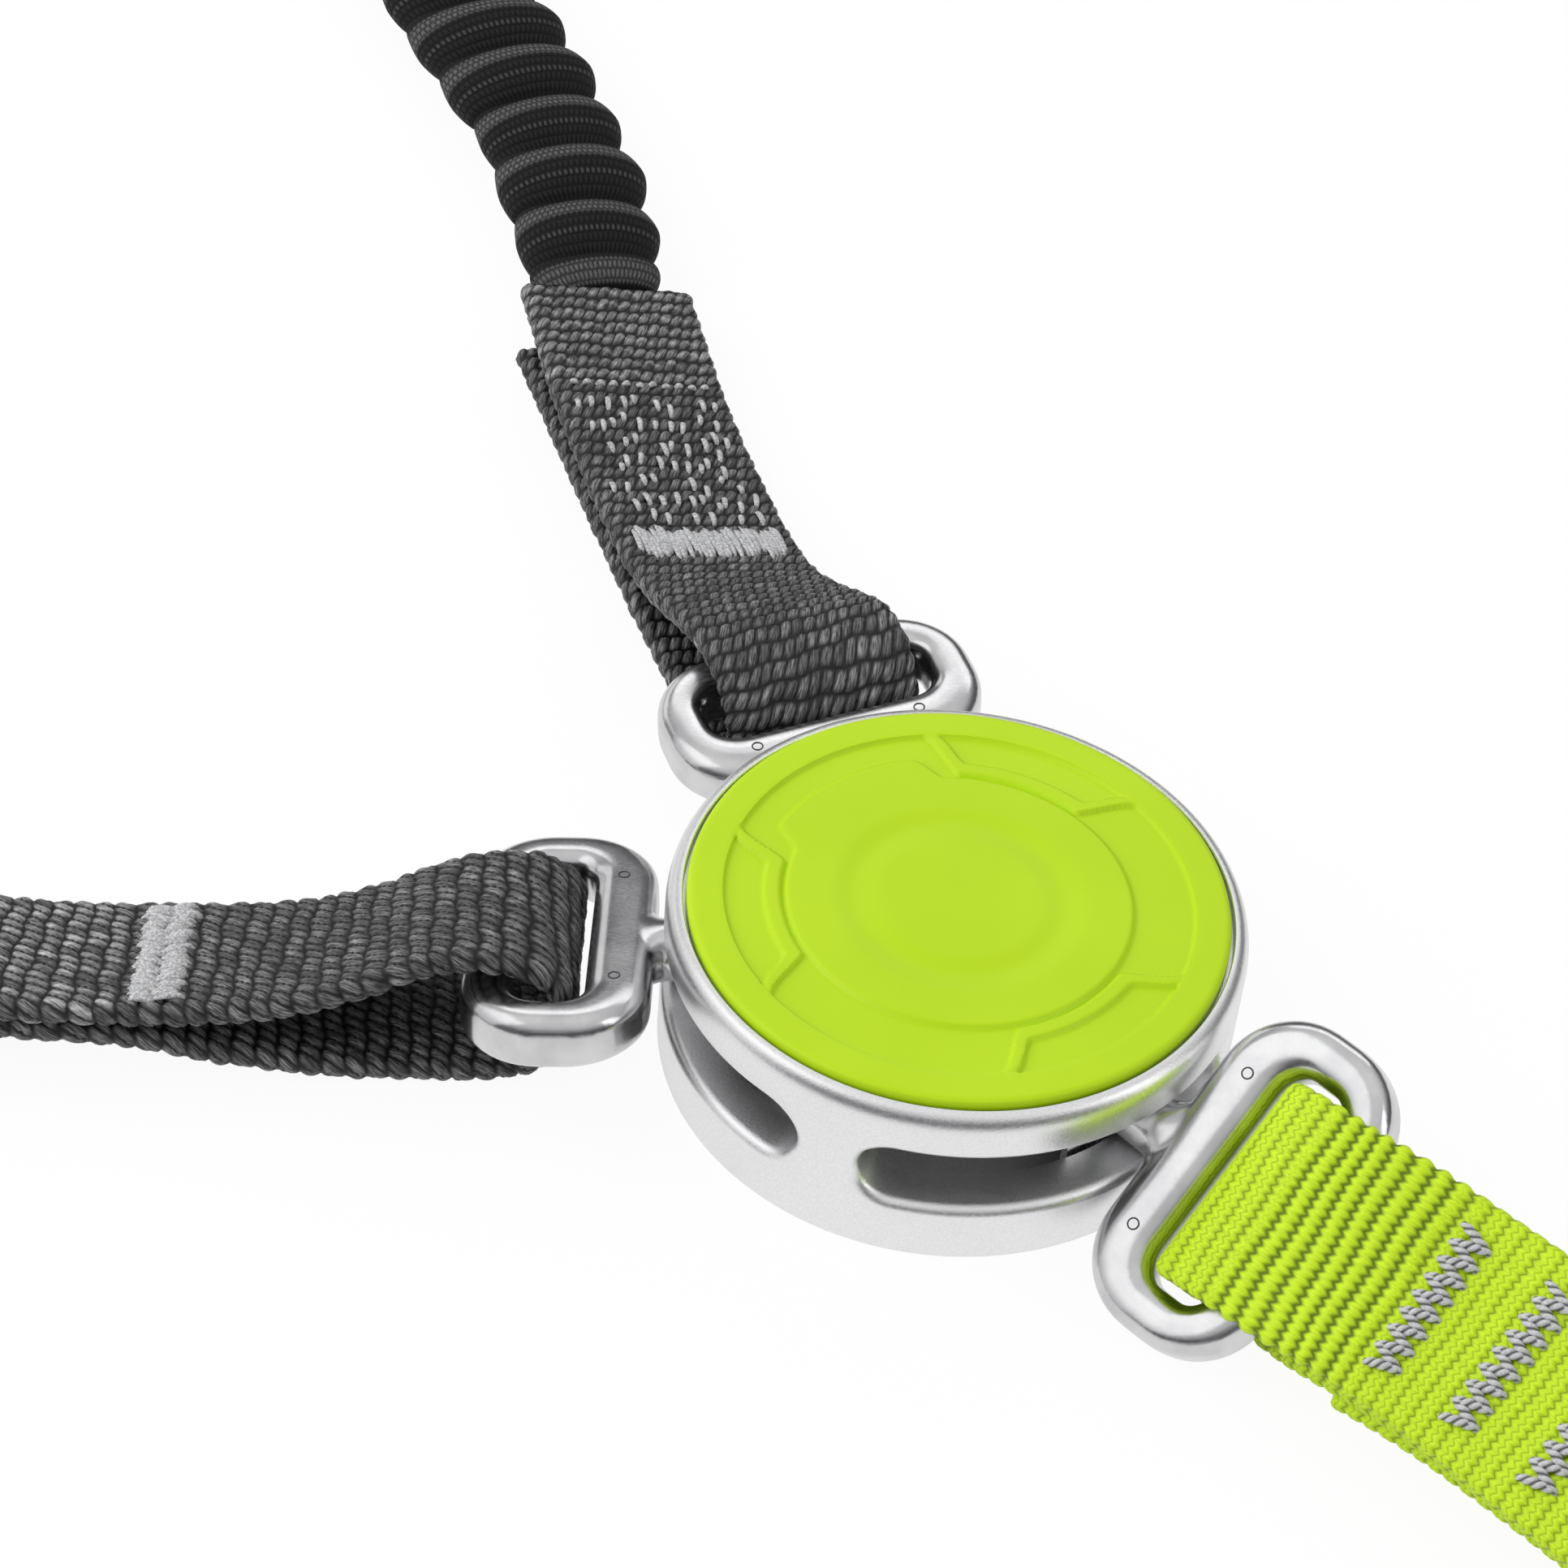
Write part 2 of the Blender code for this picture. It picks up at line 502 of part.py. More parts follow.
def eye_parts(name, metal, steel):
    axes = eye_axes(name)
    inner, outer = EYE_INNER, EYE_INNER + EYE_DEPTH
    corner = EYE_CORNER - EYE_BAR / 2
    length, width = EYE_DEPTH - EYE_BAR, EYE_WIDTH - EYE_BAR
    path = [Vector((x + (inner + outer) / 2, y, 0))
            for x, y in rounded_section(length, width, corner, 4)]
    hub_side = Vector((inner + EYE_BAR / 2, 0, 0))
    path.insert(len(path) // 2, hub_side)
    section = rounded_section(EYE_BAR, EYE_THICKNESS, EYE_EDGE_ROUND, 2)
    rings = []
    for index, point in enumerate(path):
        tangent = (path[(index + 1) % len(path)] - path[index - 1]).normalized()
        outward = tangent.cross(UP)
        rings.append([point + outward * x + UP * y for x, y in section])
    ring = lofted(f"{name}_eye", rings, metal, axes, closed=True)
    turn_to_x = Matrix.Rotation(pi / 2, 4, "Y")
    flat = EYE_THICKNESS / 2
    stations = [
        (THREAD_END, THREAD_RADIUS - FIT_GAP, THREAD_RADIUS - FIT_GAP),
        (THREAD_END + FIT_GAP, THREAD_RADIUS, THREAD_RADIUS), (NUT_OUTER, THREAD_RADIUS, THREAD_RADIUS),
        (WASHER_FLAT_SIDE, SHANK_RADIUS, SHANK_RADIUS),
        (inner - SHANK_FLARE_START, SHANK_RADIUS, SHANK_RADIUS),
        (inner, SHANK_RADIUS + SHANK_FLARE / 4, flat),
        (inner + SHANK_FLARE_START, SHANK_RADIUS + SHANK_FLARE, flat - FIT_GAP),
        (inner + EYE_BAR / 2, SHANK_RADIUS + SHANK_FLARE, flat - 2 * FIT_GAP),
    ]
    shank = lofted(f"{name}_eye_shank", [
        [(x, side * cos(2 * pi * step / SMALL_STEPS), rise * sin(2 * pi * step / SMALL_STEPS))
         for step in range(SMALL_STEPS)] for x, side, rise in stations
    ], None, axes)
    cut(ring, shank, "UNION")

    washer_radius = HUB_RADIUS - HUB_WALL - FIT_GAP
    outline = [
        (washer_radius * cos(WASHER_HALF_ANGLE * share), washer_radius * sin(WASHER_HALF_ANGLE * share))
        for share in (-1, -0.6, -0.2, 0.2, 0.6, 1)
    ]
    reach = washer_radius * sin(WASHER_HALF_ANGLE)
    outline += [(WASHER_FLAT_SIDE, reach), (WASHER_FLAT_SIDE, -reach)]
    azimuth = Matrix.Rotation(EYE_AZIMUTH[name], 4, "Z")
    middle = (SLOT_TOP + SLOT_BOTTOM) / 2
    washer = lofted(f"{name}_washer", [
        [(x, y, middle - WASHER_HEIGHT / 2) for x, y in outline],
        [(x, y, middle + WASHER_HEIGHT / 2) for x, y in outline],
    ], steel, azimuth)
    bore = turned(f"{name}_washer_bore", [
        (0, WASHER_FLAT_SIDE - CUT_OVERRUN), (SHANK_RADIUS + FIT_GAP, WASHER_FLAT_SIDE - CUT_OVERRUN),
        (SHANK_RADIUS + FIT_GAP, washer_radius + CUT_OVERRUN), (0, washer_radius + CUT_OVERRUN),
    ], None, axes @ turn_to_x, steps=SMALL_STEPS)
    cut(washer, bore)
    corner_radius = NUT_FLATS / 2 / cos(pi / 6)
    nut = turned(f"{name}_nut", [
        (0, NUT_OUTER - NUT_HEIGHT), (corner_radius, NUT_OUTER - NUT_HEIGHT),
        (corner_radius, NUT_OUTER), (0, NUT_OUTER),
    ], steel, axes @ turn_to_x, steps=6)
    nut_bore = turned(f"{name}_nut_bore", [
        (0, THREAD_END - CUT_OVERRUN), (THREAD_RADIUS + FIT_GAP, THREAD_END - CUT_OVERRUN),
        (THREAD_RADIUS + FIT_GAP, NUT_OUTER + CUT_OVERRUN), (0, NUT_OUTER + CUT_OVERRUN),
    ], None, axes @ turn_to_x, steps=SMALL_STEPS)
    cut(nut, nut_bore)


def route_frames(name, route, matrix):
    """Centres and width directions of a webbing route given past the rim, in the axes of matrix."""
    azimuth = EYE_AZIMUTH[name]
    radial = Vector((cos(azimuth), sin(azimuth), 0))
    level = UP.cross(radial)
    centres, sides = [], []
    for distance, drift, rise, roll, height in spline(route, LOOP_STEPS):
        turn = radians(roll)
        side = level * cos(turn) + UP * sin(turn)
        normal = UP * cos(turn) - level * sin(turn)
        centre = radial * HUB_RADIUS
        centre += (radial * distance + level * drift + UP * height + normal * rise) * MM
        centres.append(matrix.inverted() @ centre)
        sides.append(matrix.inverted().to_3x3() @ side)
    return centres, sides


def eye_loop(name, width, thickness, surface):
    axes = eye_axes(name)
    centres, sides = route_frames(name, LOOP_ROUTES[name], axes)
    return band(f"{name}_eye_loop", centres, sides, width, thickness, surface, axes)


def elastic_centres(name):
    azimuth = EYE_AZIMUTH[name]
    rim = Vector((cos(azimuth), sin(azimuth), 0)) * HUB_RADIUS
    flat = spline(ELASTIC_ROUTES[name], 3 * LOOP_STEPS)
    return [rim + Vector((x * MM, y * MM, ELASTIC_HEIGHT)) for x, y in flat]


def elastic_arm(name, fabric):
    """Gathered tube of webbing over elastic, in round ribs with a waist between them."""
    centres = spaced(elastic_centres(name), ELASTIC_RIB_PITCH / ELASTIC_RINGS)
    rings = []
    for index, (centre, tangent) in enumerate(zip(centres, tangents(centres))):
        across = UP.cross(tangent).normalized()
        waist = (1 + cos(2 * pi * index / ELASTIC_RINGS)) / 2
        share = 1 - (1 - ELASTIC_WAIST_SHARE) * waist
        rings.append([
            centre + across * (share * ELASTIC_WIDTH / 2 * cos(2 * pi * step / ELASTIC_SIDES))
            + UP * (share * ELASTIC_THICKNESS / 2 * sin(2 * pi * step / ELASTIC_SIDES))
            for step in range(ELASTIC_SIDES)
        ])
    return lofted(f"{name}_elastic_arm", rings, fabric)


def carabiner_axes(name):
    """Matrix of a carabiner that lies flat, at the middle of its webbing bar: X to its top, Y to
    its gate."""
    line = elastic_centres(name)
    end, along = line[-1], (line[-1] - line[-3]).normalized()
    along.z = 0
    axes = frame_matrix(end + along * CARABINER_AT, along, UP.cross(along))
    axes.translation.z = BODY_THICKNESS / 2
    return axes


def carabiner_parts(name, metal, steel, gate_metal, rubber, webbing):
    axes = carabiner_axes(name)
    path = [Vector((x * CARABINER_LENGTH, y * CARABINER_WIDTH, 0))
            for x, y in spline(FRAME_PATH_SHARES, SPLINE_STEPS)]
    start, tip = path[0], path[-1]
    rings = []
    for point, tangent in zip(path, tangents(path)):
        share = max(0.0, min(1.0, (point.x / CARABINER_LENGTH - THIN_END_SHARE) / THIN_END_SHARE))
        thickness = EYE_BAR_THICKNESS + (BODY_THICKNESS - EYE_BAR_THICKNESS) * share
        nose = max(0.0, min(1.0, 2 - (tip - point).length / NOSE_LENGTH))
        width = BODY_WIDTH + (2 * GATE_RADIUS - BODY_WIDTH) * nose
        thickness += (2 * GATE_RADIUS - thickness) * nose
        corner = EYE_BAR_THICKNESS / 3
        corner += (GATE_RADIUS - corner) * nose
        outward = tangent.cross(UP).normalized()
        rings.append([point + outward * x + UP * y
                      for x, y in rounded_section(width, thickness, corner, 1)])
    frame = lofted(f"{name}_carabiner_frame", rings, metal, axes)

    pivot = start + Vector((GATE_RADIUS + FIT_GAP, 0, 0))
    tab_half = HINGE_TAB_THICKNESS / 2
    tab = lofted(f"{name}_hinge_tab", [
        [(x, y, z) for x, y in (
            [(-2 * GATE_RADIUS, HINGE_TAB_RADIUS), (-2 * GATE_RADIUS, -HINGE_TAB_RADIUS)]
            + [(HINGE_TAB_RADIUS * sin(pi * step / 8), -HINGE_TAB_RADIUS * cos(pi * step / 8))
               for step in range(9)]
        )] for z in (-tab_half, tab_half)
    ], None, axes @ Matrix.Translation(pivot))
    cut(frame, tab, "UNION")
    hinge_place = axes @ Matrix.Translation(pivot)
    cut(frame, pin_cutter(f"{name}_frame_pin_hole", hinge_place))

    length = tip.x - pivot.x - FIT_GAP
    slot_root = HINGE_TAB_RADIUS + FIT_GAP
    knuckle = GATE_RADIUS - FIT_GAP
    gate_place = hinge_place @ Matrix.Rotation(pi / 2, 4, "Y")
    gate = turned(f"{name}_gate", [
        (0, -FIT_GAP), (GATE_RADIUS, -FIT_GAP), (GATE_RADIUS, length - FIT_GAP), (GATE_RADIUS - FIT_GAP, length),
        (0, length),
    ], gate_metal, gate_place, steps=BARREL_STEPS)
    cheek = GATE_RADIUS * cos(pi / 4)
    cut(gate, turned(f"{name}_gate_knuckle", [
        (0, -cheek), (knuckle, -cheek), (knuckle, cheek), (0, cheek),
    ], None, hinge_place, steps=SMALL_STEPS), "UNION")
    slot_half = tab_half + FIT_GAP
    cut(gate, lofted(f"{name}_gate_slot", [
        [(x, y, z) for x, y in (
            (-2 * GATE_RADIUS, -2 * GATE_RADIUS), (slot_root, -2 * GATE_RADIUS),
            (slot_root, 2 * GATE_RADIUS), (-2 * GATE_RADIUS, 2 * GATE_RADIUS),
        )] for z in (-slot_half, slot_half)
    ], None, hinge_place))
    bore_end = slot_root + GATE_BORE_DEPTH
    cut(gate, turned(f"{name}_gate_bore", [
        (0, slot_root - FIT_GAP), (GATE_BORE_RADIUS, slot_root - FIT_GAP),
        (GATE_BORE_RADIUS, bore_end), (0, bore_end),
    ], None, gate_place, steps=BARREL_STEPS))
    cut(gate, pin_cutter(f"{name}_gate_pin_hole", hinge_place))
    pin_end = cheek - FIT_GAP
    turned(f"{name}_gate_pin", [
        (0, -pin_end), (GATE_PIN_RADIUS, -pin_end), (GATE_PIN_RADIUS, pin_end), (0, pin_end),
    ], steel, hinge_place, steps=BARREL_STEPS)
    plunger_start = slot_root + FIT_GAP
    plunger_end = plunger_start + PLUNGER_LENGTH
    plunger_radius = GATE_BORE_RADIUS - FIT_GAP
    turned(f"{name}_gate_plunger", [
        (0, plunger_start), (plunger_radius - FIT_GAP, plunger_start),
        (plunger_radius, plunger_start + FIT_GAP), (plunger_radius, plunger_end), (0, plunger_end),
    ], steel, gate_place, steps=BARREL_STEPS)
    gate_spring(name, steel, gate_place, plunger_end + FIT_GAP, bore_end - FIT_GAP)
    sleeve_parts(name, steel, gate_place, length)
    end_loop_parts(name, webbing, rubber)


def pin_cutter(name, place):
    radius = GATE_PIN_RADIUS + FIT_GAP
    return turned(name, [
        (0, -BODY_THICKNESS), (radius, -BODY_THICKNESS), (radius, BODY_THICKNESS),
        (0, BODY_THICKNESS),
    ], None, place, steps=BARREL_STEPS)


def gate_spring(name, steel, gate_place, start, end):
    coil = GATE_BORE_RADIUS - FIT_GAP - SPRING_WIRE
    first, last = start + SPRING_WIRE, end - SPRING_WIRE
    steps = 6
    centres = []
    for index in range(SPRING_TURNS * steps + 1):
        angle = 2 * pi * index / steps
        share = index / (SPRING_TURNS * steps)
        centres.append(Vector((coil * cos(angle), coil * sin(angle), first + (last - first) * share)))
    rings = []
    for centre in centres:
        out = Vector((centre.x, centre.y, 0)).normalized()
        rings.append([centre + out * (SPRING_WIRE * x) + UP * (SPRING_WIRE * z)
                      for x, z in ((1, 0), (0, 1), (-1, 0), (0, -1))])
    lofted(f"{name}_gate_spring", rings, steel, gate_place)


def sleeve_parts(name, steel, gate_place, length):
    """The locking sleeve rides on the gate, held back from the nose by half its travel."""
    bore = GATE_RADIUS + FIT_GAP
    outer = bore + SLEEVE_WALL
    end = length - SLEEVE_TRAVEL / 2
    start = end - SLEEVE_LENGTH
    profile = [(bore, start), (outer, start)]
    pitch = SLEEVE_LENGTH / (SLEEVE_RIB_COUNT + 1)
    for index in range(SLEEVE_RIB_COUNT):
        middle = start + pitch * (index + 1)
        profile += [
            (outer, middle - pitch / 4), (outer - SLEEVE_RIB, middle - pitch / 8),
            (outer - SLEEVE_RIB, middle + pitch / 8), (outer, middle + pitch / 4),
        ]
    profile += [(outer, end), (bore, end)]
    turned(f"{name}_lock_sleeve", profile, steel, gate_place, steps=BARREL_STEPS)


def end_loop_parts(name, webbing, rubber):
    axes = carabiner_axes(name)
    axes = axes @ Matrix.Translation((-CARABINER_AT, 0, -BODY_THICKNESS / 2))
    centres = [Vector((distance * MM, 0, height * MM))
               for distance, height in spline(END_LOOP_ROUTE, LOOP_STEPS)]
    band(f"{name}_end_loop", centres, [ACROSS] * len(centres), END_LOOP_WIDTH, END_LOOP_THICKNESS,
         webbing, axes)
    middle = (END_LOOP_ROUTE[1][1] + END_LOOP_ROUTE[-2][1]) / 2 * MM
    hole = rounded_section(END_LOOP_WIDTH + 2 * FIT_GAP, KEEPER_HOLE_HEIGHT, FIT_GAP, 1)
    wall = rounded_section(END_LOOP_WIDTH + 2 * FIT_GAP + 2 * KEEPER_WALL,
                           KEEPER_HOLE_HEIGHT + 2 * KEEPER_WALL, KEEPER_WALL, 1)
    rings = [[(x, y, middle + z) for y, z in section] for x, section in (
        (KEEPER_START, wall), (KEEPER_START + KEEPER_LENGTH, wall),
        (KEEPER_START + KEEPER_LENGTH, hole), (KEEPER_START, hole),
    )]
    lofted(f"{name}_keeper", rings, rubber, axes, closed=True)


def pouch_axes():
    azimuth = EYE_AZIMUTH["strap"]
    along = Vector((cos(azimuth), sin(azimuth), 0))
    origin = along * (HUB_RADIUS + POUCH_GAP) + UP * POUCH_HEIGHT / 2
    return frame_matrix(origin, along, UP.cross(along))


def absorber_parts(cover_cloth, webbing):
    axes = pouch_axes()
    shoulder = POUCH_CORNER / 2
    mouth_width = STRAP_WIDTH + 2 * (FIT_GAP + POUCH_WALL)
    mouth_height = STRAP_THICKNESS + 2 * (FIT_GAP + POUCH_WALL)
    stations = [
        (0, mouth_width, mouth_height),
        (shoulder, POUCH_WIDTH - POUCH_CORNER, POUCH_HEIGHT - POUCH_CORNER),
        (POUCH_CORNER + shoulder, POUCH_WIDTH, POUCH_HEIGHT),
        (POUCH_LENGTH - POUCH_CORNER - shoulder, POUCH_WIDTH, POUCH_HEIGHT),
        (POUCH_LENGTH - shoulder, POUCH_WIDTH - POUCH_CORNER, POUCH_HEIGHT - POUCH_CORNER),
        (POUCH_LENGTH, mouth_width, mouth_height + STRAP_THICKNESS + FIT_GAP),
    ]
    outer, inner = [], []
    for x, width, height in stations:
        corner = min(POUCH_CORNER, height / 2 - POUCH_WALL)
        inner_corner = max(FIT_GAP, corner - 2 * POUCH_WALL)
        outer.append([(x, y, z) for y, z in rounded_section(width, height, corner, 3)])
        inner.append([(x, y, z) for y, z in rounded_section(
            width - 2 * POUCH_WALL, height - 2 * POUCH_WALL, inner_corner, 3)])
    lofted("absorber_pouch", outer + inner[::-1], cover_cloth, axes, closed=True)

    # The torn-apart webbing lies in folds inside, one unbroken band.
    first = (POUCH_LENGTH - PACK_LENGTH) / 2
    stack = POUCH_HEIGHT - 2 * (POUCH_WALL + FIT_GAP) - PACK_THICKNESS
    pitch = stack / (PACK_LAYERS - 1)
    bend = pitch / 2
    route = []
    for layer in range(PACK_LAYERS):
        z = layer * pitch - stack / 2
        ends = [(first, z), (first + PACK_LENGTH, z)]
        turn = [(first + PACK_LENGTH + bend if layer % 2 == 0 else first - bend, z + bend)]
        route += (ends if layer % 2 == 0 else ends[::-1]) + (turn if layer < PACK_LAYERS - 1 else [])
    centres = [Vector((x, 0, z)) for x, z in route]
    band("tear_webbing", centres, [ACROSS] * len(centres), PACK_WIDTH, PACK_THICKNESS, webbing,
         axes)


def tie_loop_and_zip(webbing, plastic, steel):
    axes = pouch_axes()
    centres = [Vector((POUCH_LENGTH + distance * MM, 0, height * MM - POUCH_HEIGHT / 2))
               for distance, height in spline(TIE_LOOP_ROUTE, LOOP_STEPS)]
    band("tie_in_loop", centres, [ACROSS] * len(centres), STRAP_WIDTH, STRAP_THICKNESS, webbing,
         axes)

    zip_length = (POUCH_LENGTH - 2 * POUCH_CORNER) * ZIP_LENGTH_SHARE
    zip_start = (POUCH_LENGTH - zip_length) / 2
    tape_base = POUCH_HEIGHT / 2 + FIT_GAP
    tape_top = tape_base + ZIP_THICKNESS
    half = ZIP_WIDTH / 2
    block("zip_tape", (zip_start, -half, tape_base), (zip_start + zip_length, half, tape_top),
          plastic, axes)
    slider_start = zip_start + SLIDER_LENGTH / 2
    slider_top = tape_base + SLIDER_THICKNESS
    side = ZIP_WIDTH / 2 + FIT_GAP
    body = block("zip_slider", (slider_start, -SLIDER_WIDTH / 2, tape_base),
                 (slider_start + SLIDER_LENGTH, SLIDER_WIDTH / 2, slider_top), steel, axes)
    cut(body, block("zip_slider_groove", (slider_start - CUT_OVERRUN, -side, tape_base - CUT_OVERRUN),
                    (slider_start + SLIDER_LENGTH + CUT_OVERRUN, side, tape_top + FIT_GAP), None, axes))
    ear_outer = SLIDER_WIDTH / 2 - FIT_GAP
    ear_inner = ear_outer - SLIDER_EAR
    ear_start = slider_start + FIT_GAP
    pull_height = slider_top + FIT_GAP + PULL_THICKNESS / 2
    for side_name, low, high in (("left", ear_inner, ear_outer), ("right", -ear_outer, -ear_inner)):
        cut(body, block(f"zip_slider_{side_name}_ear", (ear_start, low, slider_top - FIT_GAP),
                        (ear_start + SLIDER_EAR_LENGTH, high, pull_height + SLIDER_EAR),
                        None, axes), "UNION")
    pull_pivot = ear_start + SLIDER_EAR_LENGTH / 2
    pull_half = ear_inner - FIT_GAP
    pull_axes = axes @ Matrix.Translation((pull_pivot, 0, pull_height))
    half = PULL_THICKNESS / 2
    block("zip_pull", (-half, -pull_half, -half), (PULL_LENGTH, pull_half, half), steel, pull_axes)


def block(name, low, high, surface, matrix):
    corners = ((low[0], low[1]), (high[0], low[1]), (high[0], high[1]), (low[0], high[1]))
    rings = [[(x, y, z) for x, y in corners] for z in (low[2], high[2])]
    return lofted(name, rings, surface, matrix)


def build():
    remove_everything()
    blasted = material("blasted_aluminium", (0.72, 0.73, 0.74), 0.42, 1.0)
    forged = material("forged_aluminium", (0.78, 0.79, 0.80), 0.28, 1.0)
    anodised = material("anodised_aluminium", (0.22, 0.23, 0.25), 0.35, 1.0)
    steel = material("bright_steel", (0.62, 0.62, 0.62), 0.30, 1.0)
    dark = material("dark_plastic", (0.05, 0.05, 0.055), 0.5)
    lime = material("lime_plastic", (0.48, 0.80, 0.02), 0.38)
    black_webbing = material("black_webbing", (0.035, 0.035, 0.038), 0.75)
    lime_webbing = material("lime_webbing", (0.55, 0.85, 0.02), 0.65)
    rubber = material("rubber", (0.02, 0.02, 0.02), 0.7)
    cloth = material("pouch_cloth", (0.03, 0.03, 0.033), 0.85)

    hub_parts(blasted, dark, steel, lime)
    for name in EYE_NAMES:
        eye_parts(name, forged, steel)
    for name in CARABINER_NAMES:
        eye_loop(name, ARM_WIDTH, ARM_THICKNESS, black_webbing)
        elastic_arm(name, black_webbing)
        carabiner_parts(name, anodised, steel, forged, rubber, black_webbing)
    eye_loop("strap", STRAP_WIDTH, STRAP_THICKNESS, lime_webbing)
    centres, sides = route_frames("strap", STRAP_RUN_ROUTE, Matrix.Identity(4))
    band("strap_run", centres, sides, STRAP_WIDTH, STRAP_THICKNESS, lime_webbing)
    absorber_parts(cloth, lime_webbing)
    tie_loop_and_zip(lime_webbing, dark, steel)


build()
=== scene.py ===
"""Looks of a via ferrata lanyard: swivel hub, two elastic arms, a strap and its energy absorber."""

import random
from math import cos, hypot, pi, radians, sin, tan

import bpy
import numpy as np
from mathutils import Matrix, Vector


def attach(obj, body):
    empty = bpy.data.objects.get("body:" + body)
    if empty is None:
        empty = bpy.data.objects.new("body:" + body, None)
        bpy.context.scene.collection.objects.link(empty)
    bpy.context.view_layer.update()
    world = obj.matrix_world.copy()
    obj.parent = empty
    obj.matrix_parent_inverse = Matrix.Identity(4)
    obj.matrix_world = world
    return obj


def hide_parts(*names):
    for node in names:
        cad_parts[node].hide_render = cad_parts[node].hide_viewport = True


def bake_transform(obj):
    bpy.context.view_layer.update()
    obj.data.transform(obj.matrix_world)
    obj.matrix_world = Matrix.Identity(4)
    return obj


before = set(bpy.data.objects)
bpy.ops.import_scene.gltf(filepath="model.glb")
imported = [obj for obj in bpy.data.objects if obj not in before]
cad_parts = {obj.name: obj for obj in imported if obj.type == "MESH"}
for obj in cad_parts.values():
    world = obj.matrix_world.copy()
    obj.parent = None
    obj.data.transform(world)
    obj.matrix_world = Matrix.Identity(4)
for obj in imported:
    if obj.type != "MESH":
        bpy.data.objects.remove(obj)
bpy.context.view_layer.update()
scene = bpy.context.scene
scene.view_settings.view_transform = "Standard"


# Camera. A long lens close over the table, turned a little, with the hub right of the middle.
bpy.ops.object.camera_add(location=(-0.01583, -0.24284, 0.26078), rotation=(0.80649, -0.06804, 0.06508))
camera = bpy.context.object
camera.data.lens = 92.7
camera.data.sensor_width = 36
camera.data.clip_start = 0.01
scene.camera = camera


# Table and light. A pale table in a white room, with a large soft panel high on the left, smaller
# ones behind and on the right, and a fill that metal doesn't mirror. Every finish below is written
# with Wire: a wire is a shader socket, sums of wires add Math nodes, node() adds any other node.
class Wire:
    def __init__(self, socket):
        self.socket = socket

    def node(self, kind, settings=None, inputs=None, output=0):
        """A new node in this wire's material, and a wire from one of its outputs."""
        tree = self.socket.id_data
        made = tree.nodes.new(kind)
        for name, value in (settings or {}).items():
            if name != "stops":
                setattr(made, name, value)
                continue
            ramp = made.color_ramp.elements
            while len(ramp) < len(value):
                ramp.new(1.0)
            for element, (place, colour) in zip(ramp, value):
                element.position = place
                element.color = (*colour, 1)
        for name, value in (inputs or {}).items():
            if isinstance(value, Wire):
                tree.links.new(value.socket, made.inputs[name])
            else:
                made.inputs[name].default_value = value
        return Wire(made.outputs[output])

    def other(self, output):
        """A wire from another output of the same node."""
        return Wire(self.socket.node.outputs[output])

    def sum(self, operation, *others):
        inputs = {0: self}
        inputs.update({place + 1: other for place, other in enumerate(others)})
        return self.node("ShaderNodeMath", {"operation": operation}, inputs)

    def flipped(self, operation, other):
        return self.node("ShaderNodeMath", {"operation": operation}, {0: other, 1: self})

    def __add__(self, other):
        return self.sum("ADD", other)

    def __sub__(self, other):
        return self.sum("SUBTRACT", other)

    def __rsub__(self, other):
        return self.flipped("SUBTRACT", other)

    def __mul__(self, other):
        return self.sum("MULTIPLY", other)

    def __truediv__(self, other):
        return self.sum("DIVIDE", other)

    def __pow__(self, other):
        return self.sum("POWER", other)

    def fraction(self):
        return self.sum("FRACT")

    def whole(self):
        return self.sum("FLOOR")

    def between(self, low, high):
        """0 below low and 1 above high, with a soft step."""
        return self.node("ShaderNodeMapRange", {"interpolation_type": "SMOOTHSTEP"},
                         {"Value": self, "From Min": low, "From Max": high})

    def window(self, low, high, soft):
        return self.between(low - soft, low) * (1 - self.between(high, high + soft))

    def blend(self, first, second):
        """The first colour where this is 0, the second where it is 1."""
        return self.node("ShaderNodeMix", {"data_type": "RGBA"}, {0: self, 6: first, 7: second}, 2)

    def noise(self, scale, detail=2.0):
        return self.node("ShaderNodeTexNoise", None, {"Vector": self, "Scale": scale, "Detail": detail})

    def bump(self, strength, distance):
        return self.node("ShaderNodeBump", None, {
            "Strength": strength, "Distance": distance, "Height": self})

    def places(self):
        """The object's own coordinates."""
        return self.node("ShaderNodeTexCoord", None, None, 3)


def finish(name, colour, roughness, metallic=0.0, specular=0.5):
    """A plain material and the wire of its shader, on which patterns are then built."""
    material = bpy.data.materials.new(name)
    material.use_nodes = True
    shader = material.node_tree.nodes["Principled BSDF"]
    shader.inputs["Base Color"].default_value = (*colour, 1)
    shader.inputs["Roughness"].default_value = roughness
    shader.inputs["Metallic"].default_value = metallic
    shader.inputs["Specular IOR Level"].default_value = specular
    return material, Wire(shader.outputs[0])


def feed(shader, **wires):
    """Wires into the named sockets of a shader."""
    inputs = shader.socket.node.inputs
    for socket, wire in wires.items():
        shader.socket.id_data.links.new(wire.socket, inputs[socket.replace("_", " ")])


def only_select(piece):
    if bpy.context.object and bpy.context.object.mode == "EDIT":
        bpy.ops.object.mode_set(mode="OBJECT")
    bpy.ops.object.select_all(action="DESELECT")
    piece.select_set(True)
    bpy.context.view_layer.objects.active = piece


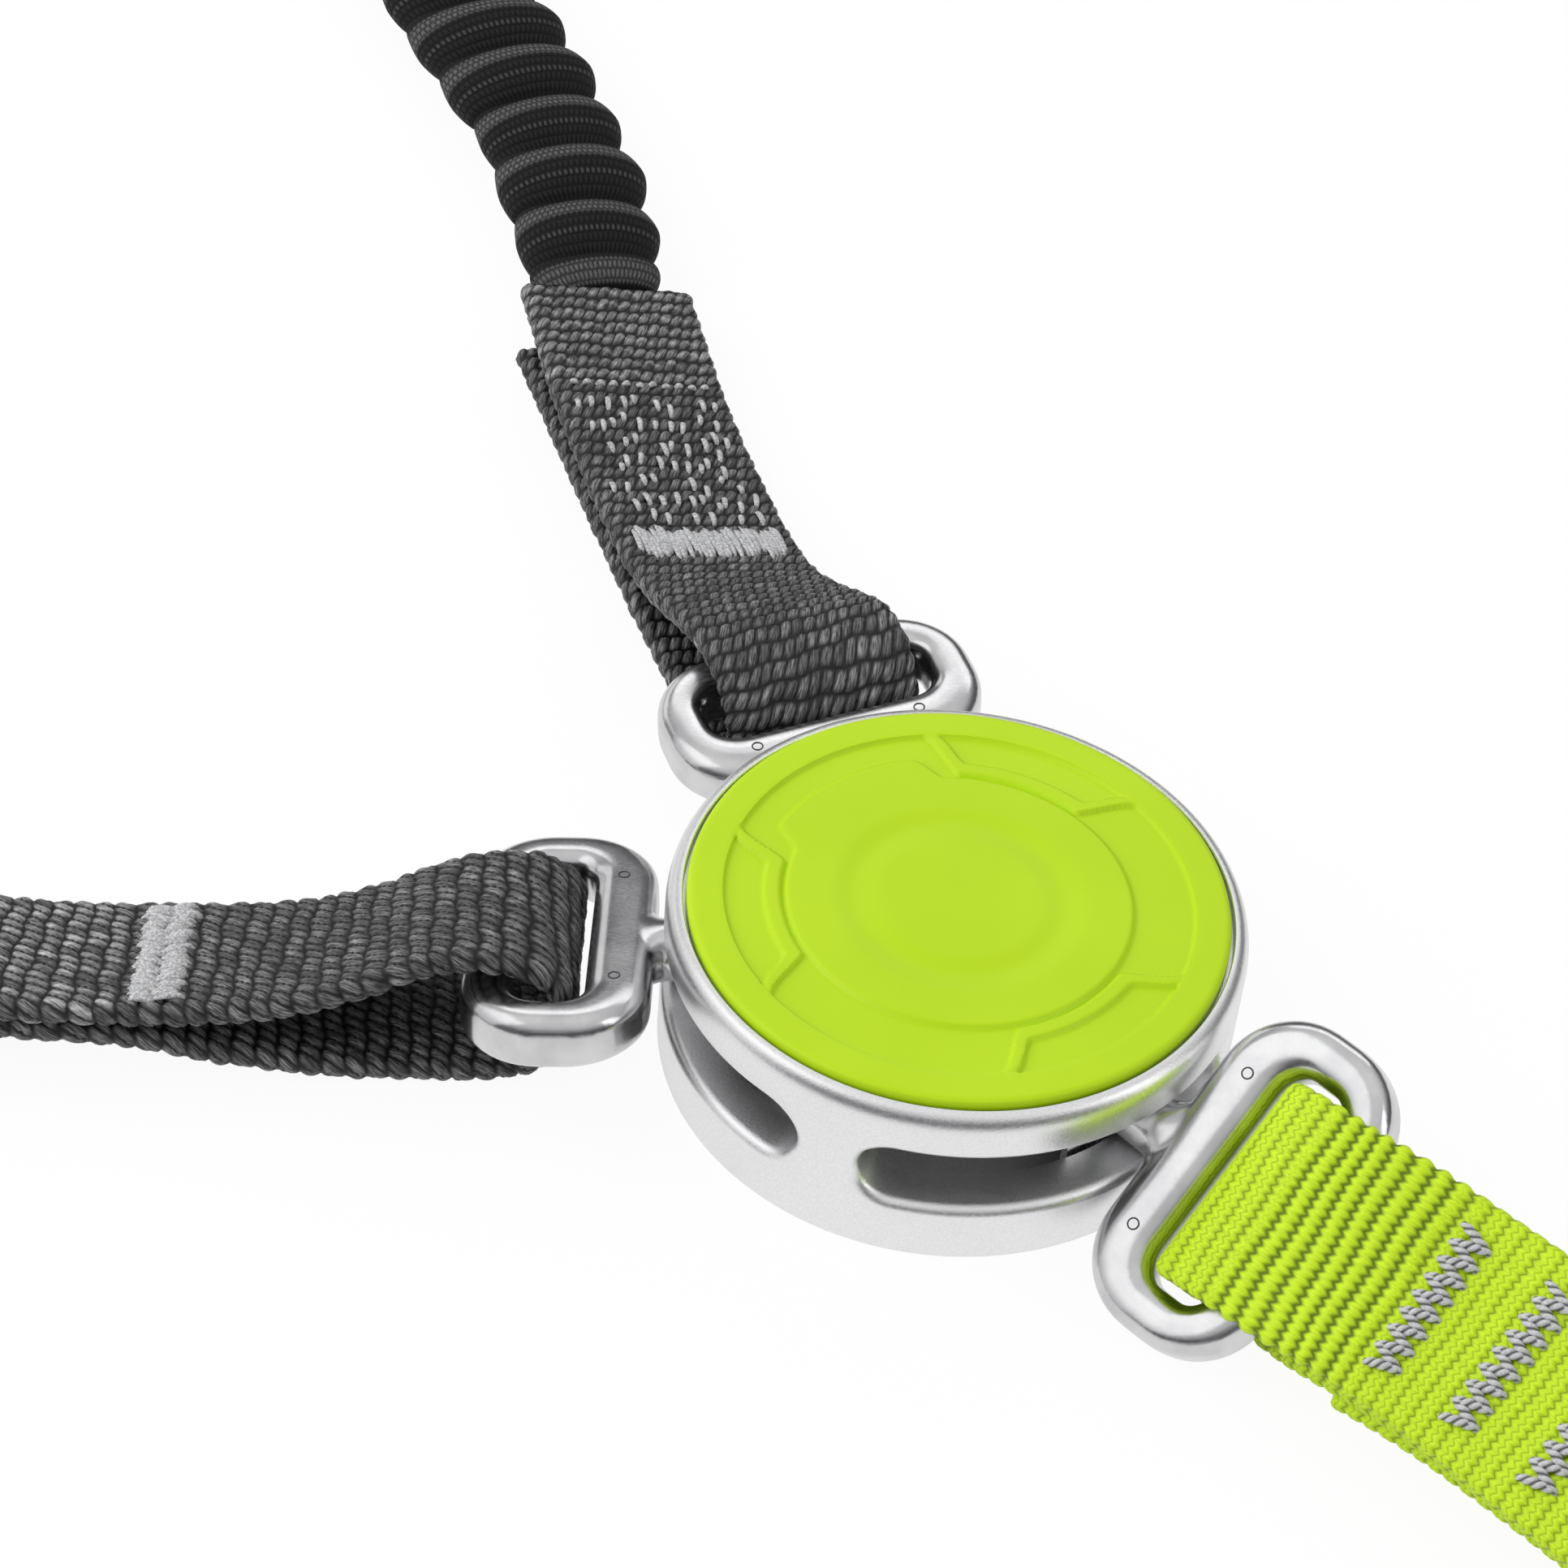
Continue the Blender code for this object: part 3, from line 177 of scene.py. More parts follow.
only_select(camera)
bpy.ops.mesh.primitive_plane_add(size=6, location=(0, 0, -0.0002))
table = bpy.context.object
table.name = "table"
pale, pale_shader = finish("pale_table", (0.84, 0.84, 0.84), 0.7)
rays = pale_shader.node("ShaderNodeLightPath")
shown = rays.sum("MAXIMUM", rays.other("Is Glossy Ray"))
from_middle = pale_shader.node("ShaderNodeVectorMath", {"operation": "LENGTH"},
                               {0: pale_shader.places()}, 1)
far_off = from_middle.between(0.12, 0.42)
reflected = far_off.blend((0.88, 0.88, 0.88, 1), (0.10, 0.10, 0.105, 1))
white = pale_shader.node("ShaderNodeEmission", None, {
    "Color": rays.blend(reflected, (1, 1, 1, 1)), "Strength": 1.02})
mixed = pale_shader.node("ShaderNodeMixShader", None, {0: shown * 0.92, 1: pale_shader, 2: white})
pale.node_tree.links.new(mixed.socket, pale.node_tree.nodes["Material Output"].inputs["Surface"])
table.data.materials.append(pale)

room = bpy.data.worlds.new("white_room")
scene.world = room
room.use_nodes = True
backdrop = room.node_tree.nodes["Background"]
direction = Wire(backdrop.outputs[0]).node("ShaderNodeTexCoord")
height = direction.node("ShaderNodeSeparateXYZ", None, {0: direction}, 2)
walls = height.node("ShaderNodeValToRGB", {"stops": (
    (0.0, (0.12, 0.12, 0.125)), (0.16, (0.09, 0.09, 0.095)), (0.30, (0.12, 0.12, 0.125)),
    (0.46, (0.27, 0.27, 0.275)), (0.62, (0.56, 0.56, 0.565)), (1.0, (0.82, 0.82, 0.82)),
)}, {0: height})
rays = direction.node("ShaderNodeLightPath")
soft_room = rays.other("Is Glossy Ray").blend((0.49, 0.49, 0.50, 1), walls)
seen_room = rays.blend(soft_room, (1, 1, 1, 1))
room.node_tree.links.new(seen_room.socket, backdrop.inputs["Color"])

for name, place, size, power in (
    ("left_panel", (-0.95, -0.10, 0.62), (1.1, 1.4), 3.1),
    ("left_fill", (-0.86, -0.10, 0.81), (1.1, 1.1), 6.2),
    ("rear_left_panel", (-0.90, 0.90, 0.30), (1.0, 0.5), 1.3),
    ("right_panel", (0.85, -0.25, 0.45), (0.30, 0.8), 1.2),
    ("back_panel", (0.1, 1.0, 0.75), (1.2, 0.4), 1.5),
):
    bpy.ops.object.light_add(type="AREA", location=place)
    lamp = bpy.context.object
    lamp.name = name
    lamp.rotation_euler = Vector(place).to_track_quat("Z", "Y").to_euler()
    lamp.data.shape = "RECTANGLE"
    lamp.data.size, lamp.data.size_y = size
    lamp.data.energy = power
    lamp.visible_glossy = name != "left_fill"


# Elastic arms. Black tubular webbing gathered over rubber, so that it stands in round ribs with
# a double row of grey yarn along the back of each. Each arm lies loose on the table in one bend,
# and its last ribs are a piece of their own.
def smooth_line(points, steps):
    """The curve of the routes: through every point, steps samples to a stretch."""
    found = []
    for index in range(len(points) - 1):
        before, here = points[max(index - 1, 0)], points[index]
        there, after = points[index + 1], points[min(index + 2, len(points) - 1)]
        for step in range(steps):
            t = step / steps
            found.append(tuple(
                ((-t + 2 * t**2 - t**3) * a + (2 - 5 * t**2 + 3 * t**3) * b
                 + (t + 4 * t**2 - 3 * t**3) * c + (t**3 - t**2) * d) / 2
                for a, b, c, d in zip(before, here, there, after)
            ))
    found.append(tuple(points[-1]))
    return found


class Lay:
    """How a strip lies: its middle, the way of its width and the way its upper face points."""

    def __init__(self, centres, sides, pitch):
        lengths = [0.0]
        for here, there in zip(centres, centres[1:]):
            lengths.append(lengths[-1] + (there - here).length)
        count = max(2, round(lengths[-1] / pitch))
        self.start, self.length = 0.0, lengths[-1]
        self.step = self.length / count
        self.centres, self.sides, self.normals, row = [], [], [], 0
        for index in range(count + 1):
            wanted = self.length * index / count
            while row < len(centres) - 2 and lengths[row + 1] < wanted:
                row += 1
            share = (wanted - lengths[row]) / (lengths[row + 1] - lengths[row])
            self.centres.append(centres[row].lerp(centres[row + 1], share))
            self.sides.append(sides[row].lerp(sides[row + 1], share))
        for index, side in enumerate(self.sides):
            along = self.centres[min(index + 1, count)] - self.centres[max(index - 1, 0)]
            along.normalize()
            self.sides[index] = (side - along * side.dot(along)).normalized()
            self.normals.append(along.cross(self.sides[index]))

    def part(self, first, last):
        """The same lay between two places along it."""
        piece = object.__new__(Lay)
        low, high = round(first / self.step), round(last / self.step)
        piece.centres, piece.sides = self.centres[low:high + 1], self.sides[low:high + 1]
        piece.normals, piece.step = self.normals[low:high + 1], self.step
        piece.start, piece.length = low * self.step, (len(piece.centres) - 1) * self.step
        return piece

    def point(self, along, across, lift):
        place = max(0.0, min(along / self.step, len(self.centres) - 1.001))
        row, share = int(place), place - int(place)
        centre = self.centres[row].lerp(self.centres[row + 1], share)
        side = self.sides[row].lerp(self.sides[row + 1], share)
        return centre + side * across + self.normals[row].lerp(self.normals[row + 1], share) * lift


def mesh_piece(name, points, faces, places=None, **values):
    """A mesh; places gives the weave's place of each face corner, values an attribute each."""
    mesh = bpy.data.meshes.new(name)
    mesh.from_pydata([tuple(point) for point in points], [], faces)
    if places is not None:
        layer = mesh.uv_layers.new(name="weave")
        layer.data.foreach_set("uv", np.asarray(places, dtype=np.float32).ravel())
    for key, value in values.items():
        attribute = mesh.attributes.new(key, "FLOAT", "POINT")
        attribute.data.foreach_set("value", np.asarray(value, dtype=np.float32).ravel())
    mesh.shade_smooth()
    piece = bpy.data.objects.new(name, mesh)
    scene.collection.objects.link(piece)
    return piece


def skin(name, lay, section, relief, yarns=lambda place: place):
    """A strip or tube along lay. section lists (across, lift, out across, out lift, girth place).
    relief gives how far each point stands out, its share attribute, and how wide the strip is.
    The weave's place is (yarns up to the girth place, metres along)."""
    profile = np.array(section)
    along = lay.start + np.arange(len(lay.centres))[:, None] * lay.step
    shape = (len(lay.centres), len(section))
    stand, share, narrow = relief(profile[None, :, 4], along)
    stand, share = np.broadcast_to(stand, shape), np.broadcast_to(share, shape)
    across = profile[None, :, 0] * narrow + profile[None, :, 2] * stand
    lift = profile[None, :, 1] + profile[None, :, 3] * stand
    points = (np.array(lay.centres)[:, None, :] + np.array(lay.sides)[:, None, :] * across[..., None]
              + np.array(lay.normals)[:, None, :] * lift[..., None])
    rows, columns = shape
    row = np.arange(rows - 1)[:, None] * columns
    column = np.arange(columns)[None, :]
    after = (column + 1) % columns
    faces = np.stack([row + column, row + columns + column, row + columns + after, row + after], -1)
    girth = profile[-1, 4] + hypot(*(profile[0, :2] - profile[-1, :2]))
    places = np.zeros((rows - 1, columns, 4, 2))
    places[:, :, :2, 0] = yarns(profile[None, :, None, 4])
    places[:, :, 2:, 0] = yarns(np.append(profile[1:, 4], girth))[None, :, None]
    places[:, :, (0, 3), 1] = along[:-1, :, None]
    places[:, :, (1, 2), 1] = along[1:, :, None]
    caps = [list(range(columns)), list(range((rows - 1) * columns, rows * columns))[::-1]]
    corners = np.concatenate([places.reshape(-1, 2), np.zeros((2 * columns, 2))])
    return mesh_piece(name, points.reshape(-1, 3), faces.reshape(-1, 4).tolist() + caps, corners,
                      share=share)


def with_places(outline):
    """An outline of (across, lift, out across, out lift), with the way round to each point."""
    section, place = [], outline[0][0]
    for index, point in enumerate(outline):
        if index:
            place += hypot(point[0] - outline[index - 1][0], point[1] - outline[index - 1][1])
        section.append((*point, place))
    return section


def oval_section(width, height, steps):
    turns = [pi - 2 * pi * step / steps for step in range(steps)]
    return with_places([
        (width / 2 * cos(turn), height / 2 * sin(turn), cos(turn), sin(turn)) for turn in turns
    ])


def weave_places(shader):
    """Wires of the place across a strip or round a tube, and of the metres along it."""
    weave = shader.node("ShaderNodeUVMap", {"uv_map": "weave"})
    across = weave.node("ShaderNodeSeparateXYZ", None, {0: weave})
    return across, across.other(1)


def filaments(across, down):
    """Fine fibres, stretched as the two scaled places are."""
    return across.node("ShaderNodeCombineXYZ", None, {0: across, 1: down}).noise(1.0, 3.0)


HUB_RADIUS = 0.025
MM = 0.001
UP = Vector((0, 0, 1))
EYE_AZIMUTH = {"strap": radians(-41.5), "back": radians(113), "left": radians(182.5)}
RIM_POINT = {
    name: Vector((cos(turn), sin(turn), 0)) * HUB_RADIUS for name, turn in EYE_AZIMUTH.items()
}
ELASTIC_ROUTES = {
    "left": (
        (-85.3, -3.72), (-93.02, -4.06), (-108, -5.2), (-132, -9.4), (-157, -20.9), (-174, -42.9),
        (-178, -68.9), (-168, -94.9), (-146, -113.9), (-121, -119.91), (-103, -119.91),
        (-93.02, -119.91),
    ),
    "back": (
        (-29.6, 73.6), (-31.7, 81.2), (-34.4, 91), (-38.5, 102.3), (-44.6, 114.8), (-51, 127),
        (-58.7, 144), (-64.8, 161), (-66.8, 180), (-59.6, 199), (-39.5, 211), (-10, 212),
        (15, 200), (31, 187.5), (43.8, 182.99), (50.8, 182.99), (57.77, 182.99),
    ),
}
ELASTIC_WIDTH = 0.0182
ELASTIC_DEPTH = 0.0084
ELASTIC_HEIGHT = 0.0044
RIB_PITCH = 0.0098
RIB_DEPTH = 0.0024
ROUND_YARN = 0.00072
RIB_ROWS = 9

gathered, gathered_shader = finish("gathered_webbing", (0.03, 0.03, 0.032), 0.7, specular=0.25)
around, down = weave_places(gathered_shader)
in_rib = (down / RIB_PITCH + 0.5).fraction()
yarn = (around / ROUND_YARN + (in_rib * RIB_ROWS).whole() * 0.5).fraction() * 2 - 1
in_row = (in_rib * RIB_ROWS).fraction() * 2 - 1
dot = (1 - yarn ** 2) * (1 - in_row ** 2)
fibre = filaments(around * 5200, down * 2400)
# Painted shade: the grey rows and the black between them darken where each yarn's dot falls away into the
# gaps between yarns and rows, and lighten towards the dots' middles.
double_row = in_rib.window(0.55, 0.80, 0.05) * (dot * 0.8 + 0.15) * (fibre.between(0.3, 0.7) * 0.7 + 0.4)
dotted_row = in_rib.window(0.225, 0.33, 0.01) * dot.between(0.45, 0.9) * 0.26
deep = (dot * (fibre + 0.4)).blend((0.003, 0.003, 0.0033, 1), (0.013, 0.013, 0.0138, 1))
feed(gathered_shader, Base_Color=(double_row + dotted_row).blend(deep, (0.17, 0.17, 0.174, 1)),
     Normal=(dot + fibre * 0.35).bump(0.9, 0.00025))

elastic_section = oval_section(ELASTIC_WIDTH, ELASTIC_DEPTH, 64)
SEAM_PLACE = elastic_section[32][4]
wander = random.Random(7)
rib_sizes = np.array([wander.uniform(-0.0003, 0.0003) for rib in range(60)])


def gathers(place, along):
    """Round ribs with a deep fold between them, less deep on the side where the webbing's seam
    holds it. The first ribs are narrower and sink under the end of the loop."""
    rib = along / RIB_PITCH + 0.5
    seam_side = 1 - 0.62 * np.exp(-((place - SEAM_PLACE) / 0.0042) ** 2)
    fold = (1 - np.sqrt(np.clip(1 - (2 * (rib % 1) - 1) ** 2, 0, 1))) ** 0.75
    stand = rib_sizes[np.floor(rib).astype(int) % 60] - RIB_DEPTH * seam_side * fold
    stand = np.maximum(stand - RIB_DEPTH * np.clip(1 - along / 0.0045, 0, 1) ** 1.5, -0.0032)
    return stand, 0.0, np.interp(along, (0.0, 0.030, 0.055), (0.86, 0.90, 1.0))


for arm, route in ELASTIC_ROUTES.items():
    middle = [RIM_POINT[arm] + Vector((x * MM, y * MM, ELASTIC_HEIGHT))
              for x, y in smooth_line(route, 20)]
    across = []
    for index in range(len(middle)):
        along = middle[min(index + 1, len(middle) - 1)] - middle[max(index - 1, 0)]
        across.append(UP.cross(along).normalized())
    whole = Lay(middle, across, RIB_PITCH / 24)
    split = (int(whole.length / RIB_PITCH - 0.5) - 2.5) * RIB_PITCH
    main_lay, end_lay = whole.part(0.0, split), whole.part(split, whole.length)
    main, last = (
        skin(f"{arm}_gathered_{part}", lay, elastic_section, gathers)
        for part, lay in (("arm", main_lay), ("arm_end", end_lay))
    )
    for piece in (main, last):
        piece.data.materials.append(gathered)
        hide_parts(f"{arm}_elastic_arm")
    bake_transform(main)
    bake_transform(last)


# Black webbing of the arms. Heavy flat webbing whose thick yarns stand in ribs across it, round
# its edges too. Each loop goes over the bar of its eye and is sewn to itself under a bar tack.
def flat_section(width, thickness, columns, edge_steps):
    """A strip's outline with round edges, from the left of its upper face round to the right."""
    round_off = thickness / 2
    reach = width / 2 - round_off
    outline = []
    for face in (1, -1):
        for column in range(columns + 1):
            outline.append((face * (2 * reach * column / columns - reach), face * round_off, 0, face))
        for step in range(1, edge_steps):
            turn = face * pi / 2 - pi * step / edge_steps
            outline.append((face * reach + round_off * cos(turn), round_off * sin(turn),
                            cos(turn), sin(turn)))
    return with_places(outline)


def yarn_count(width, thickness, face_yarns, edge_yarns):
    """A function from the way round a strip to the count of yarns up to there."""
    reach, edge = width - thickness, pi * thickness / 2
    ways = np.cumsum([-reach / 2, reach, edge, reach, edge])
    counts = np.cumsum([0, face_yarns, edge_yarns, face_yarns, edge_yarns])
    return lambda place: np.interp(place, ways, counts)


def scatter(yarns, rows):
    """An even spread of 0 to 1, the same each time, for each yarn of each row."""
    return np.abs(np.sin(np.floor(yarns) * 12.9898 + rows * 78.233) * 43758.5453) % 1


ARM_WIDTH = 0.0185
ARM_THICKNESS = 0.002
ARM_RIB = 0.00195
YARN_SLANT = 0.46
ARM_RELIEF = 0.00044
arm_yarns = yarn_count(ARM_WIDTH, ARM_THICKNESS, 14, 2)


def woven_arm(light_share):
    """Slanting oval yarns in ribs. light_share gives, along the strip, the share of yarns with
    grey thread in them and how light the ribs' crests are."""
    def relief(place, along):
        yarns = arm_yarns(place)
        rib = along / ARM_RIB + 0.07 * np.sin(yarns * 1.7) + 0.05 * np.sin(yarns * 0.61 + along * 900)
        rows = np.floor(rib)
        down_rib = 2 * (rib % 1) - 1
        turn = yarns + 0.5 * (rows % 2) + YARN_SLANT * down_rib
        over_yarn = 2 * (turn % 1) - 1
        chance = scatter(turn, rows)
        lens = np.clip(1 - over_yarn ** 2, 0, 1) ** 0.5 * np.clip(1 - down_rib ** 2, 0, 1) ** 0.5
        stand = ARM_RELIEF * lens - 0.00027 + 0.00010 * (chance - 0.5)
        share, crest_light = light_share(along)
        strand = np.exp(-((over_yarn - 0.5 * down_rib + 0.7 * (chance - 0.5)) / 0.42) ** 2)
        grey = (chance > 1 - share) * (0.25 + 0.75 * scatter(turn + 40, rows)) * strand
        wavy = down_rib + 0.35 * np.sin(yarns * pi)
        grey = np.maximum(grey, crest_light * np.exp(-(wavy / 0.30) ** 2) * (0.35 + 0.65 * chance))
        # The grey share fades out where the yarns fall away into the valleys, so the painted shade of the
        # yarn colour shows there.
        return stand, grey * np.clip(lens * 2.5 - 0.5, 0, 1), 1.0
    return relief


def attribute(shader, name):
    return shader.node("ShaderNodeAttribute", {"attribute_name": name}, None, 2)


black, black_shader = finish("black_webbing_weave", (0.1, 0.1, 0.102), 0.38, specular=0.45)
across, down = weave_places(black_shader)
wobble = (across * 1.7).sum("SINE") * 0.07 + (across * 0.61 + down * 900).sum("SINE") * 0.05
rib = down / ARM_RIB + wobble
down_rib = rib.fraction() * 2 - 1
turn = across + (rib.whole() * 0.5).fraction() + down_rib * YARN_SLANT
over_yarn = turn.fraction() * 2 - 1
lens = (1 - over_yarn ** 2) * (1 - down_rib ** 2)
yarn_tone = turn.node("ShaderNodeTexWhiteNoise", {"noise_dimensions": "2D"}, {
    "Vector": turn.node("ShaderNodeCombineXYZ", None, {0: turn.whole(), 1: rib.whole()})})
filament = filaments(turn * 9, down * 900 + yarn_tone * 40)
# Painted shade and highlight: each yarn's colour runs from near black in the valleys between yarns and ribs
# to a painted sheen on its crest.
lit = lens.between(0.02, 0.70) * (filament.between(0.36, 0.70) * 0.88 + 0.12) * (yarn_tone * 0.6 + 0.4)
yarn = lit.blend((0.003, 0.003, 0.0033, 1), (0.38, 0.38, 0.385, 1))
grey = attribute(black_shader, "share") * (filament.between(0.3, 0.65) * 0.8 + 0.35)
feed(black_shader, Base_Color=(grey * lens.between(0.02, 0.3)).blend(yarn, (0.66, 0.66, 0.665, 1)),
     Normal=(lens + filament * 0.6).bump(0.8, 0.00022))
tack_grey, tack_shader = finish("grey_thread", (0.52, 0.52, 0.52), 0.6)
strands = tack_shader.places().noise(4200.0, 3.0)
tack_tone = strands.between(0.3, 0.7).blend((0.32, 0.32, 0.325, 1), (0.74, 0.74, 0.745, 1))
feed(tack_shader, Base_Color=tack_tone, Normal=strands.bump(0.6, 0.0001))


def stitches(name, lay, runs, radius, face=-1, plies=0, sides=7, steps=7):
    """Threads over a strip's face, each from one place along and across it to another, with its
    ends sunk in the cloth. plies twists each thread of two strands that many times."""
    points, faces, ply_crests = [], [], []
    for (along_a, across_a), (along_b, across_b), surface in runs:
        track = []
        for step in range(steps + 1):
            t = step / steps
            bow = sin(pi * t) ** 0.5 if 0 < step < steps else 0.0
            along, side = along_a + (along_b - along_a) * t, across_a + (across_b - across_a) * t
            lift = face * (surface + radius * (1.3 * bow - 0.9))
            track.append((lay.point(along, side, lift), 0.55 + 0.45 * bow))
        way = (track[-1][0] - track[0][0]).normalized()
        out = (track[len(track) // 2][0] - (track[0][0] + track[-1][0]) / 2).normalized()
        flank = way.cross(out).normalized()
        first = len(points)
        for step, (centre, taper) in enumerate(track):
            for corner in range(sides):
                turn = 2 * pi * corner / sides
                ply = abs(cos(turn - pi * plies * step / steps)) if plies else 1.0
                ply_crests.append(ply)
                reach = radius * taper * (0.6 + 0.4 * ply)
                points.append(centre + flank * (reach * cos(turn)) + out * (reach * sin(turn)))
        for step in range(steps):
            for corner in range(sides):
                here, there = first + step * sides, first + (step + 1) * sides
                after = (corner + 1) % sides
                faces.append((here + corner, there + corner, there + after, here + after))
        faces.append(tuple(range(first, first + sides)))
        faces.append(tuple(range(first + steps * sides, first + (steps + 1) * sides))[::-1])
    return mesh_piece(name, points, faces, ply_crest=ply_crests)


LOOP_ROUTES = {
    "left": (
        (84.5, 0.1, 0, 0, 3.9), (80.5, 0.1, 0, 1, 4.0), (75, 0.8, 0, 6, 4.5), (65, 2.1, 0, 14, 5.6),
        (53, 2.8, 0, 16, 5.8), (43, 2.5, 0, 15.5, 6.0), (36, 2.2, 0, 16, 6.5), (30, 2, 0, 17, 7.7),
        (24.5, 1.4, 0, 18, 9.6), (19.5, 0.5, 0, 17.5, 11.6), (15, 0.1, 0, 15, 12.5), (11, 0, 0, 13, 12.0),
        (8.4, 0, 0, 11, 9.4), (8.1, 0, 0, 7, 6.2), (9.8, 0, 0, 3, 3.2), (14, 0, 0, 0, 1.7),
        (22, 0.3, 0, 0, 1.35), (30, 1, 0, 2, 1.7), (38, 1.8, 0, 7, 2.6), (45, 2.4, 0, 13, 3.5),
        (53, 2.8, 0, 16, 3.6), (65, 2.3, 0, 14, 3.4), (71, 1.8, 0, 10, 2.8), (77, 1.2, 0, 5.5, 2.2),
    ),
    "back": (
        (78.5, -1.4, 0, 10, 5.4), (71, -0.6, 0, 11, 5.3), (60, 0.5, 0, 11, 5.1), (49, 1, 0, 11, 5.0),
        (38.5, 1.3, 0, 11, 5.5), (31, 1.4, 0, 10, 7.0), (24.5, 1.2, 0, 7, 9.6), (19, 0.8, 0, 3, 12.2),
        (14.6, 0.4, 0, -2, 13.5), (10.8, 0.1, 0, -4, 12.8), (8.3, 0, 0, -4, 10.3),
        (7.9, 0, 0, -4, 7.4), (9.6, 0, 0, -3, 4.7), (14, 0.2, 0, 0, 3.0), (21, 0.9, 0, 5, 2.5),
        (32, 1.6, 0, 10, 2.8), (45, 1.6, 0, 11, 2.85), (59, 1.4, 0, 11, 2.9), (71.5, 1.2, 0, 11, 2.95),
    ),
}


def route_lay(name, route, pitch):
    """The lay of webbing past an eye: the route's distance past the rim, drift along the bar,
    height over the eye's mid-plane, roll and height over the table."""
    radial = RIM_POINT[name].normalized()
    level = UP.cross(radial)
    centres, sides = [], []
    for distance, drift, rise, roll, height in smooth_line(route, 16):
        turn = radians(roll)
        sides.append(level * cos(turn) + UP * sin(turn))
        normal = UP * cos(turn) - level * sin(turn)
        past = radial * distance + level * drift + UP * height + normal * rise
        centres.append(RIM_POINT[name] + past * MM)
    return Lay(centres, sides, pitch)


loop_lays = {}
for arm, mottled in (
    ("left", lambda along: (np.where(along < 0.0385, 0.72, 0.0), 0.0)),
    ("back", lambda along: (0.0, np.where(along < 0.0160, 0.62, 0.0))),
):
    lay = route_lay(arm, LOOP_ROUTES[arm], ARM_RIB / 6.5)
    loop_lays[arm] = lay
    loop = skin(f"{arm}_webbing_loop", lay, flat_section(ARM_WIDTH, ARM_THICKNESS, 56, 8),
                woven_arm(mottled), arm_yarns)
    loop.data.materials.append(black)
    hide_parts(f"{arm}_eye_loop")
    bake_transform(loop)

pick = random.Random(11)
top = ARM_THICKNESS / 2 + 0.0001
left_tack, back_tack, dashes = [], [], []
for first, slant in ((0.0397, 0.0004), (0.0417, -0.0004)):
    for row in range(34):
        across = -0.0076 + 0.0152 * row / 33 + pick.uniform(-0.0001, 0.0001)
        start = first + pick.uniform(-0.0003, 0.0003)
        stop = start + 0.0025 + pick.uniform(-0.0003, 0.0004)
        left_tack.append(((start, across), (stop, across + slant), top))
for row in range(46):
    across = -0.0074 + 0.0148 * row / 45 + pick.uniform(-0.0001, 0.0001)
    start = 0.0398 + pick.uniform(-0.0006, 0.0004) - 0.0004 * sin(row * 0.9)
    back_tack.append(((start, across), (start + 0.0053 + pick.uniform(-0.0006, 0.0007),
                                        across + pick.uniform(-0.0003, 0.0005)), top))
for column in range(11):
    across = -0.0070 + 0.0140 * column / 10
    start = 0.0163 + pick.uniform(-0.0003, 0.0003)
    dashes.append(((start, across - 0.0005), (0.0164, across + 0.0005), top))
    along = 0.0180 + pick.uniform(0, 0.0014)
    while along < 0.0375:
        if pick.random() < 0.84:
            side = across + 0.0004 * sin(along * 900 + column)
            length = pick.uniform(0.0012, 0.0024)
            dashes.append(((along, side), (along + length, side + pick.uniform(-0.0002, 0.0005)), top))
        along += pick.uniform(0.0026, 0.0036)
for name, arm, runs, radius in (
    ("left_bar_tack", "left", left_tack, 0.00034), ("back_bar_tack", "back", back_tack, 0.00030),
    ("back_stitched_zone", "back", dashes, 0.00030),
):
    tack = stitches(name, loop_lays[arm], runs, radius)
    tack.data.materials.append(tack_grey)
    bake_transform(tack)


# Lime strap. Polyester webbing in three layers: a loop over the strap's eye, with its corrugated
# ribs pulled up by the seam, and under it the run to the absorber. Grey zigzag tacks hold them.
STRAP_WIDTH = 0.0195
STRAP_THICKNESS = 0.0019
STRAP_RIB = 0.00168
STRAP_TOOTH = 0.0004
STRAP_RELIEF = 0.00042
FINE_RELIEF = 0.00012
strap_yarns = yarn_count(STRAP_WIDTH, STRAP_THICKNESS, 22, 3)
STRAP_LOOP_ROUTE = (
    (54, 0.5, 2.1, 33, 10.4), (45, 0.8, 2.1, 31, 10.4), (35, 1, 2.1, 29, 10.2),
    (27.5, 0.9, 2.6, 28, 9.8), (22, 0.7, 3.8, 30, 9.4), (17, 0.5, 4.6, 34, 9.1),
    (11.8, 0.3, 4.6, 36.5, 9.1), (8.6, 0, 3.2, 37, 9.1), (7.8, 0, 0, 37, 9.1),
    (8.6, 0, -3.2, 37, 9.1), (12.0, 0.3, -4.4, 36.5, 9.1), (17.5, 0.5, -3.8, 34, 9.1),
    (22.5, 0.7, -1.6, 30, 9.4), (27.5, 0.9, -0.3, 28, 9.8), (35, 1, -0.2, 29, 10.2),
    (45, 0.8, -0.2, 31, 10.4), (53, 0.5, -0.2, 33, 10.4),
)
STRAP_RUN_ROUTE = (
    (24.2, 0.1, -3.9, 29, 9.6), (29, 0.5, -2.8, 28, 9.9), (35, 0.8, -2.6, 29, 10.2),
    (45, 0.8, -2.6, 31, 10.4), (55, 0.5, -2.6, 33, 10.4), (59, 0.4, -2.4, 29, 11),
    (63.5, 0.2, -1.6, 19, 12.6), (68, 0, -0.6, 8, 14.2), (72, 0, 0, 1, 14.9), (78, 0, 0, 0, 15),
    (84, 0, 0, 0, 15),
)
SEWN_END = 0.0312
ZIGZAG_WIDTH = 0.0136


